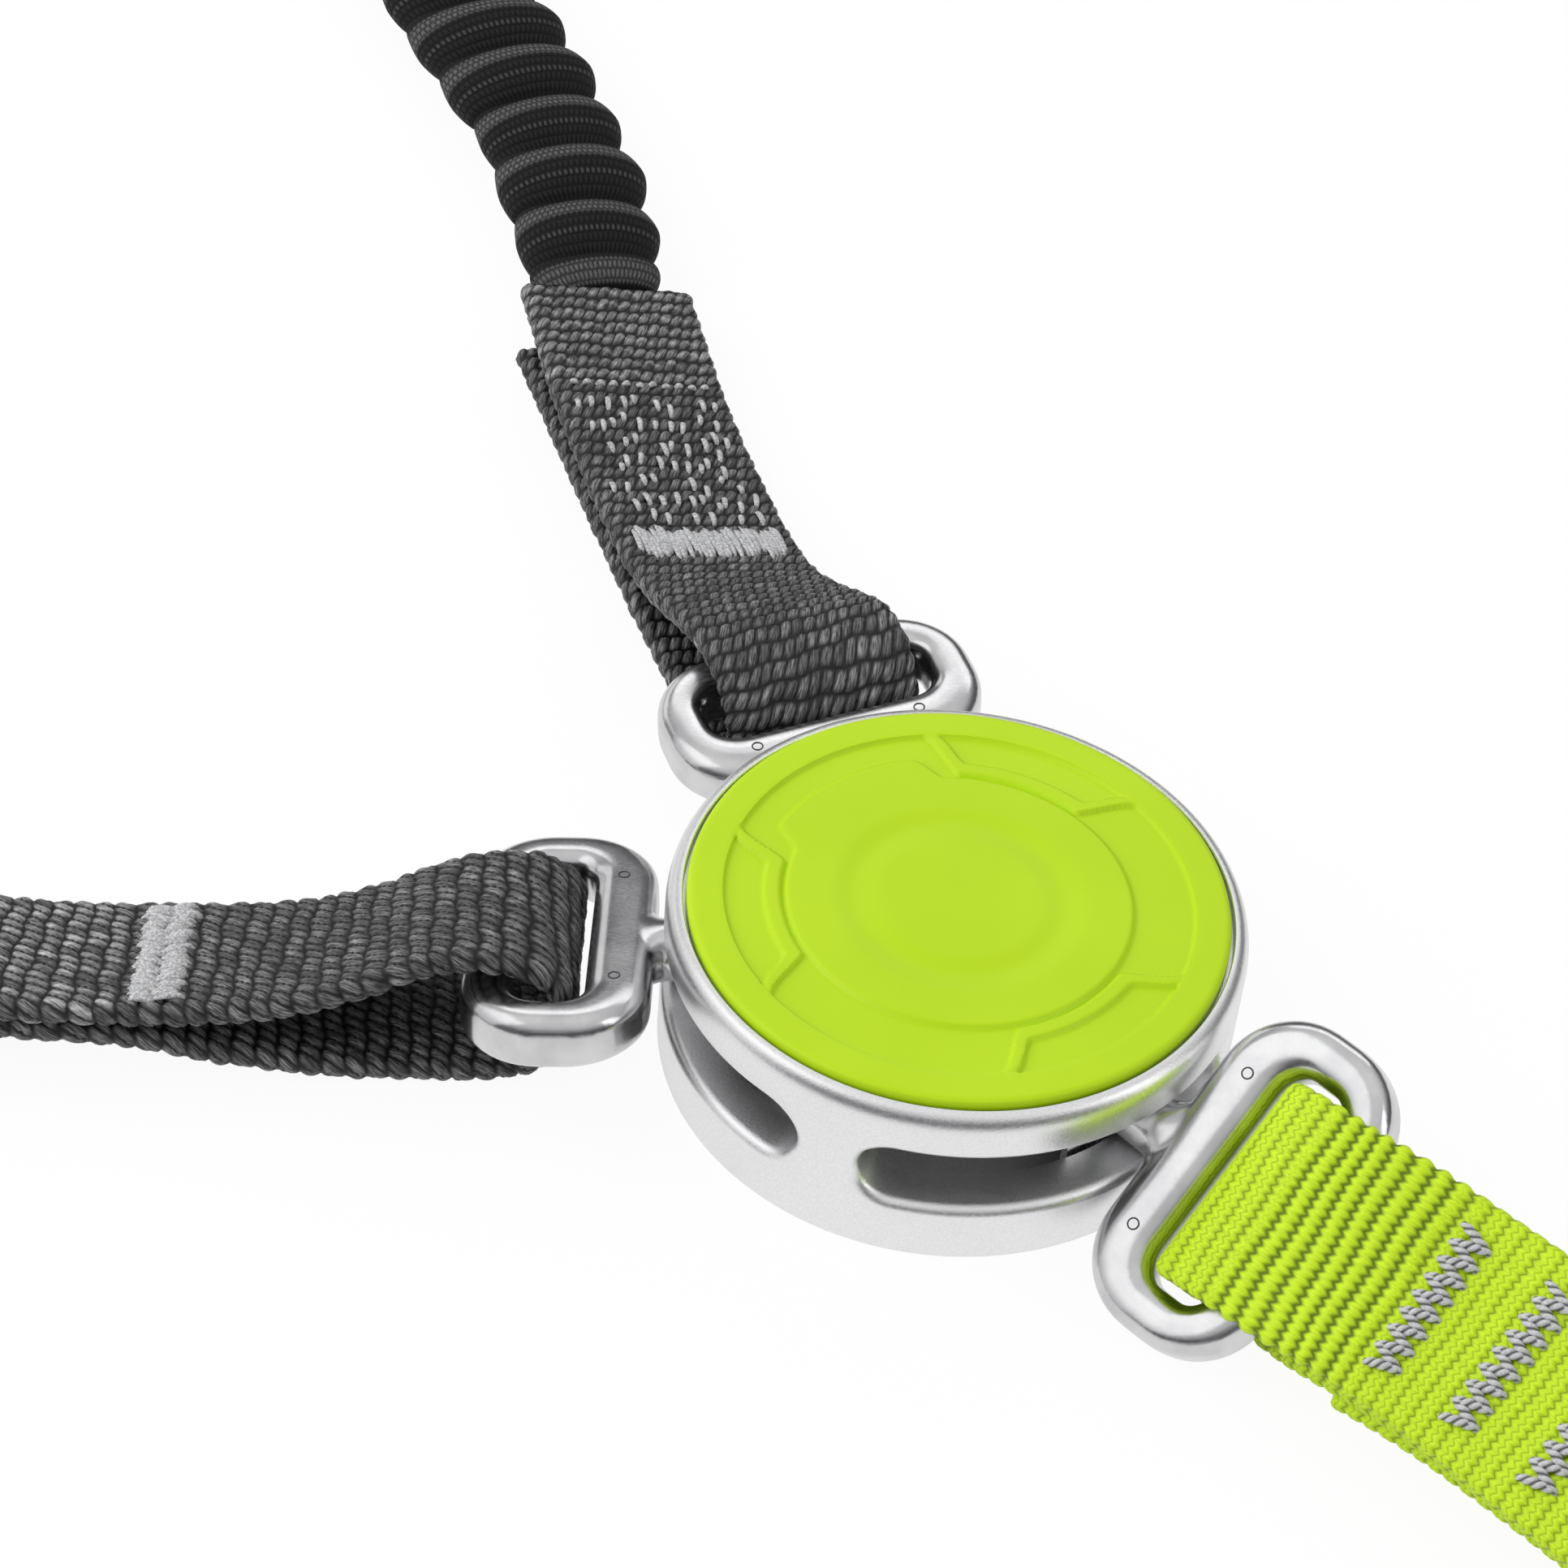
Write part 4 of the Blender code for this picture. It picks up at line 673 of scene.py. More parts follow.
def corrugated(strength):
    """Ribs across the strap, toothed where its yarns cross them. strength gives how high the ribs
    stand at each place along."""
    def relief(place, along):
        yarns = strap_yarns(place)
        tooth = np.abs(2 * (yarns % 1) - 1)
        rib = (along + STRAP_TOOTH * tooth) / STRAP_RIB + 0.05 * np.sin(yarns * 0.55)
        high = strength(along)
        stand = STRAP_RELIEF * high * (np.abs(np.sin(pi * rib)) - 0.7)
        stand = stand + FINE_RELIEF * (1 - high) * (np.abs(np.sin(2 * pi * rib)) - 0.7)
        return stand, high, 1.0
    return relief


lime, lime_shader = finish("lime_webbing_weave", (0.6, 0.9, 0.02), 0.52, specular=0.3)
across, down = weave_places(lime_shader)
tooth = (across.fraction() * 2 - 1).sum("ABSOLUTE")
rib = (down + tooth * STRAP_TOOTH) / STRAP_RIB + (across * 0.55).sum("SINE") * 0.05
high = attribute(lime_shader, "share")
wave = (rib * pi).sum("SINE").sum("ABSOLUTE")
fine_wave = (rib * (2 * pi)).sum("SINE").sum("ABSOLUTE")
filament = filaments(across * 6, down * 500)
shade = high * wave.between(0.0, 0.95) + (1 - high) * (fine_wave.between(0.0, 0.6) * 0.6 + 0.4)
shade = shade * (filament.between(0.3, 0.7) * 0.22 + 0.78)
feed(lime_shader, Base_Color=shade.blend((0.13, 0.21, 0.003, 1), (0.70, 0.98, 0.022, 1)),
     Normal=(fine_wave * (1 - high) + filament * 0.5).bump(0.7, 0.00012))
loop_lay = route_lay("strap", STRAP_LOOP_ROUTE, STRAP_RIB / 6)
run_lay = route_lay("strap", STRAP_RUN_ROUTE, STRAP_RIB / 6)
strap_section = flat_section(STRAP_WIDTH, STRAP_THICKNESS, 80, 7)
for name, node, lay, strength in (
    ("strap_webbing_loop", "strap_eye_loop", loop_lay, lambda along: np.interp(
        along, (0, 0.026, 0.030, 0.040, 0.0425, 0.06, 0.11), (0.3, 0.35, 1, 1, 0.35, 0.5, 0.4))),
    ("strap_sewn_end", "strap_run", run_lay.part(0, SEWN_END), lambda along: 0.4 + 0 * along),
    ("strap_free_run", "strap_run", run_lay.part(SEWN_END, run_lay.length), lambda along: 0.45 + 0 * along),
):
    strap = skin(name, lay, strap_section, corrugated(strength), strap_yarns)
    strap.data.materials.append(lime)
    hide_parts(node)
    if name == "strap_free_run":
        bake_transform(strap)
    else:
        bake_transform(strap)


def zigzag(first, teeth, depth, surface):
    """The runs of a zigzag tack that crosses a strap: teeth points to each side."""
    runs = []
    for tooth in range(2 * teeth):
        left = -ZIGZAG_WIDTH / 2 + ZIGZAG_WIDTH * tooth / (2 * teeth)
        right = -ZIGZAG_WIDTH / 2 + ZIGZAG_WIDTH * (tooth + 1) / (2 * teeth)
        places = (first, first + depth) if tooth % 2 else (first + depth, first)
        runs.append(((places[0], left - 0.0001), (places[1], right + 0.0001), surface))
    return runs


strap_top = STRAP_THICKNESS / 2 + 0.0002
zigzags = [run for first in (0.0245, 0.0165, 0.0085) for run in zigzag(first, 8, 0.0034, strap_top)]
tacks = stitches("strap_zigzag_tacks", loop_lay, zigzags, 0.00046, plies=4, sides=12, steps=24)
twisted, twisted_shader = finish("grey_twisted_thread", (0.42, 0.42, 0.43), 0.5)
strands = twisted_shader.places().noise(6000.0)
lit = attribute(twisted_shader, "ply_crest").between(0.1, 0.9) * (strands.between(0.25, 0.75) * 0.35 + 0.65)
feed(twisted_shader, Base_Color=lit.blend((0.10, 0.10, 0.10, 1), (0.72, 0.72, 0.73, 1)))
tacks.data.materials.append(twisted)
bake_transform(tacks)


# Hub housing. A bowl machined from aluminium and bead-blasted, open at the top, with a rounded
# rim, a ledge for the cover plate, a post for its screw and three round-ended slots in its wall.
def normals_outward(piece):
    only_select(piece)
    bpy.ops.object.mode_set(mode="EDIT")
    bpy.ops.mesh.select_all(action="SELECT")
    bpy.ops.mesh.normals_make_consistent(inside=False)
    bpy.ops.object.mode_set(mode="OBJECT")


def spun(name, profile, steps=160, axes=None):
    """A closed profile of (radius, height) turned once round the axis."""
    mesh = bpy.data.meshes.new(name)
    count = len(profile)
    joined = [(index, (index + 1) % count) for index in range(count)]
    if profile[0][0] == 0 and profile[-1][0] == 0:
        joined.pop()
    mesh.from_pydata([(radius, 0, rise) for radius, rise in profile], joined, [])
    piece = bpy.data.objects.new(name, mesh)
    scene.collection.objects.link(piece)
    only_select(piece)
    bpy.ops.object.mode_set(mode="EDIT")
    bpy.ops.mesh.select_all(action="SELECT")
    bpy.ops.mesh.spin(steps=steps, angle=2 * pi, center=(0, 0, 0), axis=(0, 0, 1))
    bpy.ops.mesh.select_all(action="SELECT")
    bpy.ops.mesh.remove_doubles(threshold=1e-6)
    normals_outward(piece)
    if axes:
        mesh.transform(axes)
    return piece


def applied(piece, kind, **settings):
    """A modifier of that kind on the piece, applied."""
    modifier = piece.modifiers.new(kind.lower(), kind)
    for key, value in settings.items():
        setattr(modifier, key, value)
    only_select(piece)
    bpy.ops.object.modifier_apply(modifier=modifier.name)


def joined_with(piece, other, operation="UNION"):
    applied(piece, "BOOLEAN", operation=operation, object=other, solver="EXACT")
    bpy.data.objects.remove(other)


def smooth_by_angle(piece, angle):
    only_select(piece)
    bpy.ops.object.shade_smooth_by_angle(angle=radians(angle))


RIM_HEIGHT = 0.0171
WALL = 0.0042
SLOT_HEIGHTS = (0.006, 0.0122)
SLOT_ANGLES = {"strap": (-106.5, -16.5), "back": (14, 122.5), "left": (135.5, 240.5)}
SLOT_LEANS = (0, 20, 40, 58, 72)
SLOT_ROUND = 0.0010

rim_curve = [(0.0237 + 0.0013 * cos(turn), 0.0153 + 0.0018 * sin(turn))
             for turn in (pi / 2 * step / 8 for step in range(9))]
base_curve = [(0.0246 + 0.0004 * sin(turn), 0.0004 - 0.0004 * cos(turn))
              for turn in (pi / 2 * step / 4 for step in range(5))]
housing = spun("hub_housing_body", [
    (0, 0), *base_curve, *rim_curve, (0.0236, RIM_HEIGHT - 0.0001), (0.0236, 0.0159), (0.0226, 0.0159),
    (0.0226, 0.014), (0.0208, 0.014), (0.0208, 0.0034), (0.0206, 0.0030), (0.0202, 0.0028),
    (0.005, 0.0028), (0.005, 0.0137), (0.0021, 0.0137), (0.0021, 0.0028), (0, 0.0028),
], steps=256)
for name, (first, last) in SLOT_ANGLES.items():
    half = (SLOT_HEIGHTS[1] - SLOT_HEIGHTS[0]) / 2
    centre_height = sum(SLOT_HEIGHTS) / 2
    wall_middle = HUB_RADIUS - WALL / 2
    stations = [(HUB_RADIUS - WALL - 0.003, 0.0)]
    for lean in SLOT_LEANS:
        stations.append((HUB_RADIUS - SLOT_ROUND * (1 - sin(radians(lean))),
                         SLOT_ROUND * (1 - cos(radians(lean)))))
    outside = HUB_RADIUS + 0.0003
    beyond = (outside - stations[-1][0]) * tan(radians(SLOT_LEANS[-1]))
    stations.append((outside, stations[-1][1] + beyond))
    low, high = radians(first) + half / wall_middle, radians(last) - half / wall_middle
    points, rings = [], []
    for radius, growth in stations:
        reach = half + growth
        quarter = [pi / 2 * (step + 0.5) / 9 for step in range(9)]
        columns = [(low - reach * cos(turn) / wall_middle, reach * sin(turn)) for turn in quarter]
        columns += [(low + (high - low) * step / 60, reach) for step in range(61)]
        columns += [(high + reach * cos(turn) / wall_middle, reach * sin(turn)) for turn in quarter[::-1]]
        outline = [(angle, -rise) for angle, rise in columns] + columns[::-1]
        rings.append(list(range(len(points), len(points) + len(outline))))
        points += [(radius * cos(angle), radius * sin(angle), centre_height + rise)
                   for angle, rise in outline]
    faces = [(ring[index], ring[(index + 1) % len(ring)], after[(index + 1) % len(ring)], after[index])
             for ring, after in zip(rings, rings[1:]) for index in range(len(ring))]
    for ring in (rings[0], rings[-1]):
        faces += [(ring[index], ring[index + 1], ring[-index - 2], ring[-index - 1])
                  for index in range(len(ring) // 2 - 1)]
    cutter = mesh_piece(f"{name}_slot", points, faces)
    normals_outward(cutter)
    joined_with(housing, cutter, "DIFFERENCE")
smooth_by_angle(housing, 32)

blasted, blasted_shader = finish("bead_blasted_aluminium", (0.86, 0.86, 0.87), 0.34, 1.0)
grain, cloud = blasted_shader.places().noise(5200.0), blasted_shader.places().noise(160.0)
feed(blasted_shader, Roughness=grain * 0.18 + cloud * 0.06 + 0.24,
     Base_Color=grain.between(0.2, 0.8).blend((0.84, 0.84, 0.85, 1), (0.96, 0.96, 0.965, 1)),
     Normal=grain.bump(0.45, 0.00004))
housing.data.materials.append(blasted)
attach(housing, "hub")
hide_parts("hub_housing")


# Inside of the hub. A dark moulded core ring round the post, a turned steel cover plate, and its
# countersunk screw. The eyes' nuts and washers run in the space round the core.
def dress(nodes, material):
    """The material in every slot of the named solids, which keep their own shape."""
    for node in nodes:
        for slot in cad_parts[node].material_slots:
            slot.material = material


moulded, moulded_shader = finish("dark_moulded_plastic", (0.38, 0.38, 0.384), 0.48)
speck = moulded_shader.places().noise(2600.0)
feed(moulded_shader, Roughness=speck * 0.2 + 0.34, Normal=speck.bump(0.2, 0.00003))
core = spun("hub_core", [
    (0.0053, 0.0031), (0.0143, 0.0031), (0.0146, 0.0034), (0.0146, 0.0137), (0.0143, 0.0140),
    (0.0053, 0.0140),
], steps=128)
smooth_by_angle(core, 30)
core.data.materials.append(moulded)
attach(core, "hub")
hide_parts("core_ring")

steel, steel_shader = finish("turned_steel", (0.62, 0.62, 0.63), 0.28, 1.0)
scratch = steel_shader.places().noise(1900.0, 4.0)
feed(steel_shader, Roughness=scratch * 0.22 + 0.16,
     Base_Color=scratch.between(0.3, 0.7).blend((0.50, 0.50, 0.51, 1), (0.70, 0.70, 0.71, 1)),
     Normal=scratch.bump(0.15, 0.00003))
dress(["cover_plate", "cover_screw"], steel)
dress([f"{name}_{part}" for name in EYE_AZIMUTH for part in ("nut", "washer")], steel)


# Cap. Lime plastic moulded with a shallow relief: a flat outer ring, three windows with a raised
# line beside them, and an island with a lobe on one side and a faint dish in its middle.
def smooth_step(low, high, value):
    share = np.clip((value - low) / (high - low), 0, 1)
    return share * share * (3 - 2 * share)


CAP_RADIUS = 0.0233
CAP_TOP = 0.0177
CAP_UNDER = 0.0162
CAP_SKIRT = (0.0186, 0.0176, 0.0150)
RELIEF_DEPTH = 0.00042
DISH_DEPTH = 0.00018
WINDOWS = (-48.6, 71.4, 191.4)
turns = 540
radii = np.concatenate([np.linspace(0, 0.0225, 121)[1:], [0.0227, 0.0229, 0.0231, 0.0232]])
angle = np.degrees(np.arange(turns) * 2 * pi / turns)[None, :]
radius = radii[:, None] * 1000
ring = smooth_step(20.0, 20.3, radius)
lobe = smooth_step(97, 107, angle) * (1 - smooth_step(155, 165, angle))
island_edge = 14.95 + 2.45 * lobe
raised = ring + 1 - smooth_step(island_edge - 0.25, island_edge + 0.15, radius)
for middle in WINDOWS:
    off = np.abs((angle - middle + 180) % 360 - 180)
    inner = 16.75 + 3.5 * smooth_step(18.5, 27.0, off)
    outer_side = 15.35 + 4.9 * smooth_step(20.5, 30.5, off)
    ridge = smooth_step(outer_side - 0.2, outer_side + 0.15, radius)
    ridge = ridge * (1 - smooth_step(inner - 0.15, inner + 0.2, radius)) * (off < 33)
    raised = np.maximum(raised, ridge * (1 - ring))
dish = DISH_DEPTH * smooth_step(6.8, 9.0, radius) * (1 - smooth_step(9.0, 11.2, radius))
heights = CAP_TOP - RELIEF_DEPTH * (1 - np.clip(raised, 0, 1)) - dish
edge = np.clip((radii - 0.0227) / (CAP_RADIUS - 0.0227), 0, 1)
heights = heights - 0.0005 * (1 - np.sqrt(1 - edge ** 2))[:, None]
rows = list(zip(radii, heights))
rows += [(CAP_RADIUS, np.full(turns, rise)) for rise in (CAP_TOP - 0.0006, CAP_UNDER + 0.0001)]
rows += [(reach, np.full(turns, rise)) for reach, rise in (
    (CAP_RADIUS - 0.0001, CAP_UNDER), (CAP_SKIRT[0], CAP_UNDER), (CAP_SKIRT[0], CAP_SKIRT[2]),
    (CAP_SKIRT[1], CAP_SKIRT[2]), (CAP_SKIRT[1], CAP_UNDER),
)]
flat_turns = np.arange(turns) * 2 * pi / turns
points = [(0, 0, float(heights[0].mean()))]
for reach, rise in rows:
    points += zip(reach * np.cos(flat_turns), reach * np.sin(flat_turns), rise)
points.append((0, 0, CAP_UNDER))
faces = [(0, 1 + index, 1 + (index + 1) % turns) for index in range(turns)]
for row in range(len(rows) - 1):
    first = 1 + row * turns
    for index in range(turns):
        after = (index + 1) % turns
        faces.append((first + index, first + turns + index, first + turns + after, first + after))
last_ring = 1 + (len(rows) - 1) * turns
faces += [(last_ring + index, len(points) - 1, last_ring + (index + 1) % turns) for index in range(turns)]
cap = mesh_piece("hub_cap", points, faces)
smooth_by_angle(cap, 50)
lime_plastic, cap_shader = finish("lime_moulded_plastic", (0.53, 0.79, 0.010), 0.42, specular=0.25)
skin_grain, tone = cap_shader.places().noise(3600.0), cap_shader.places().noise(70.0)
feed(cap_shader, Roughness=skin_grain * 0.12 + 0.34,
     Base_Color=tone.between(0.3, 0.7).blend((0.515, 0.770, 0.009, 1), (0.540, 0.800, 0.012, 1)),
     Normal=skin_grain.bump(0.12, 0.00003))
cap.data.materials.append(lime_plastic)
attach(cap, "hub")
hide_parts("cap")


# Eyes. Forged aluminium rings, satin polished, each with a shank that runs through a slot into
# its nut. Small round marks of the ejector pins are left on the bar next to the hub.
def rounded_outline(width, height, corner, steps):
    found = []
    for quarter, (x_sign, y_sign) in enumerate(((1, 1), (-1, 1), (-1, -1), (1, -1))):
        for step in range(steps + 1):
            turn = pi / 2 * (quarter + step / steps)
            found.append((x_sign * (width / 2 - corner) + corner * cos(turn),
                          y_sign * (height / 2 - corner) + corner * sin(turn)))
    return found


def lofted(name, rings, closed=False):
    """A skin through rings of points; its ends are capped, or joined if it is closed."""
    size, faces = len(rings[0]), []
    for row in range(len(rings) if closed else len(rings) - 1):
        low, high = row * size, (row + 1) % len(rings) * size
        faces += [(low + column, low + (column + 1) % size, high + (column + 1) % size, high + column)
                  for column in range(size)]
    if not closed:
        faces += [tuple(range(size)), tuple(range((len(rings) - 1) * size, len(rings) * size))]
    piece = mesh_piece(name, [point for ring in rings for point in ring], faces)
    normals_outward(piece)
    return piece


def axes_at(origin, along, across):
    x_axis = Vector(along).normalized()
    z_axis = x_axis.cross(Vector(across)).normalized()
    axes = Matrix((x_axis, z_axis.cross(x_axis), z_axis)).transposed().to_4x4()
    axes.translation = Vector(origin)
    return axes


EYE_ROLL = {"strap": radians(37), "back": radians(-4), "left": radians(12)}
EYE_DROOP = {"strap": 0.0, "back": 0.0, "left": radians(4)}
EYE_INNER = 0.0256
EYE_DEPTH = 0.0162
EYE_WIDTH = 0.030
EYE_BAR = 0.0044
HUB_BAR_EXTRA = 0.0012
EYE_ROUND = 0.0017
EYE_THICKNESS = 0.0053
EYE_CORNER = 0.007
SHANK = 0.00275
THREAD = 0.0024
SHANK_STATIONS = (
    (0.0151, THREAD, THREAD), (0.0190, THREAD, THREAD), (0.01905, SHANK, SHANK),
    (0.0242, SHANK, SHANK), (0.0248, 0.00285, 0.00268), (0.0254, 0.0034, 0.0026),
    (0.0262, 0.0046, 0.0025), (0.0278, 0.0062, 0.0024),
)
PIN_MARK = (0.02865, 0.0078)

forged, forged_shader = finish("forged_aluminium", (0.64, 0.64, 0.65), 0.2, 1.0)
satin, wear = forged_shader.places().noise(3400.0, 3.0), forged_shader.places().noise(260.0, 3.0)
feed(forged_shader, Roughness=satin * 0.14 + wear * 0.08 + 0.11,
     Base_Color=wear.between(0.3, 0.7).blend((0.62, 0.62, 0.63, 1), (0.74, 0.74, 0.745, 1)),
     Normal=satin.bump(0.16, 0.00003))
# Painted shade: the ejector pin marks are thin rings coloured near black, standing for the shade in the
# marks' grooves.
pin_mark_shade, pin_shader = finish("pin_mark_painted_shade", (0.07, 0.07, 0.072), 0.55, specular=0.2)
feed(pin_shader, Roughness=pin_shader.places().noise(3400.0, 3.0) * 0.2 + 0.45)

for name, azimuth in EYE_AZIMUTH.items():
    pivot_radius = HUB_RADIUS - WALL / 2
    radial = Vector((cos(azimuth), sin(azimuth), 0))
    along = radial * cos(EYE_DROOP[name]) - UP * sin(EYE_DROOP[name])
    pivot = radial * pivot_radius + UP * sum(SLOT_HEIGHTS) / 2
    level = UP.cross(along).normalized()
    side = level * cos(EYE_ROLL[name]) + along.cross(level) * sin(EYE_ROLL[name])
    axes = axes_at(pivot - along * pivot_radius, along, side)
    middle = EYE_INNER + EYE_DEPTH / 2
    path = [Vector((x + middle, y, 0)) for x, y in
            rounded_outline(EYE_DEPTH - EYE_BAR, EYE_WIDTH - EYE_BAR, EYE_CORNER - EYE_BAR / 2, 12)]
    rings = []
    for index, point in enumerate(path):
        tangent = (path[(index + 1) % len(path)] - path[index - 1]).normalized()
        outward = tangent.cross(UP)
        extra = HUB_BAR_EXTRA * (0.5 - (point.x - middle) / (EYE_DEPTH - EYE_BAR))
        rings.append([point + outward * x + UP * y + Vector((extra * (0.5 - x / EYE_BAR), 0, 0))
                      for x, y in rounded_outline(EYE_BAR, EYE_THICKNESS, EYE_ROUND, 5)])
    eye = lofted(f"{name}_forged_eye", rings, closed=True)
    joined_with(eye, lofted(f"{name}_shank", [
        [(x, wide * cos(2 * pi * step / 48), high * sin(2 * pi * step / 48)) for step in range(48)]
        for x, wide, high in SHANK_STATIONS
    ]))
    applied(eye, "REMESH", mode="VOXEL", voxel_size=0.00021, use_smooth_shade=True)
    applied(eye, "SMOOTH", factor=0.5, iterations=7)
    eye.data.transform(axes)
    eye.data.materials.append(forged)
    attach(eye, f"{name}_swivel")
    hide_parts(f"{name}_eye")
    for which, sign in (("low", -1), ("high", 1)):
        only_select(eye)
        bpy.ops.mesh.primitive_torus_add(
            major_radius=0.00048, minor_radius=0.00007, major_segments=32, minor_segments=8,
            location=(PIN_MARK[0], sign * PIN_MARK[1], EYE_THICKNESS / 2))
        bpy.ops.object.transform_apply(location=True)
        mark = bpy.context.object
        mark.name = f"{name}_pin_mark_{which}"
        mark.data.transform(axes)
        mark.data.shade_smooth()
        mark.data.materials.append(pin_mark_shade)
        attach(mark, f"{name}_swivel")


# Carabiners. Hot-forged bodies with an anodised finish, a round gate on a steel pin, a knurled
# locking sleeve on the gate, and a rubber keeper that holds the sewn end loop in place.
CARABINER_ENDS = {"left": Vector((-0.118, -0.121, 0)), "back": Vector((0.048, 0.206, 0))}
FRAME_SHARES = (
    (0.225, 0.43), (0.165, 0.43), (0.085, 0.40), (0.03, 0.31), (0.0, 0.17), (0.0, 0.0),
    (0.0, -0.17), (0.03, -0.31), (0.115, -0.39), (0.255, -0.42), (0.455, -0.43), (0.655, -0.43),
    (0.805, -0.39), (0.89, -0.25), (0.915, 0.0), (0.91, 0.22), (0.88, 0.36), (0.835, 0.425),
    (0.805, 0.43), (0.755, 0.43),
)
CARABINER_LENGTH = 0.116
CARABINER_WIDTH = 0.066
HINGE_TAB = 0.0044
HINGE_SLOT = 0.0050
SLEEVE_LENGTH = 0.024
SLEEVE_RADIUS = 0.0065
SLEEVE_BORE = 0.0047
SLEEVE_GROOVES = 11
GROOVE_PITCH = 0.0018
BODY_WIDTH = 0.0095
BODY_DEPTH = 0.011
THIN_BAR = 0.0058
GATE = 0.0044
NOSE_LENGTH = 0.0055
FIT_GAP = 0.0003
END_LOOP_THICKNESS = 0.0018
END_LOOP_ROUTE = (
    (0.5, 5.5), (12, 5.5), (26, 5.6), (34, 7.4), (40.5, 9.3), (46, 9.7), (50.5, 9.6), (54.3, 8.5),
    (55.6, 5.5), (54.3, 2.4), (50.5, 1.3), (46, 1.2), (39.5, 1.3), (33, 2.5), (26, 3.2), (12, 3.2),
    (0.9, 3.2),
)
KEEPER_OUTLINE = (0.0223, 0.0080, 0.0016)
KEEPER_HOLE = (0.0191, 0.0048, 0.0003)
KEEPER_HEIGHT = 0.00435
KEEPER_STEPS = (
    (0.0120, 0.96), (0.0126, 1.0), (0.0165, 1.0), (0.0170, 0.975), (0.0190, 0.975), (0.0195, 1.0),
    (0.0234, 1.0), (0.0240, 0.96),
)
anodised, anodised_shader = finish("anodised_grey", (0.20, 0.21, 0.23), 0.34, 1.0)
film, rubbed = anodised_shader.places().noise(2200.0, 3.0), anodised_shader.places().noise(90.0, 4.0)
feed(anodised_shader, Roughness=film * 0.14 + rubbed * 0.14 + 0.2,
     Base_Color=rubbed.between(0.35, 0.75).blend((0.17, 0.18, 0.20, 1), (0.26, 0.27, 0.29, 1)),
     Normal=film.bump(0.15, 0.00003))
rubber, rubber_shader = finish("black_rubber", (0.02, 0.02, 0.021), 0.62)
chalk = rubber_shader.places().noise(900.0, 4.0)
rubber_tone = chalk.between(0.4, 0.8).blend((0.016, 0.016, 0.017, 1), (0.038, 0.038, 0.04, 1))
feed(rubber_shader, Base_Color=rubber_tone, Normal=chalk.bump(0.25, 0.00005))
turn_along = Matrix.Rotation(pi / 2, 4, "Y")

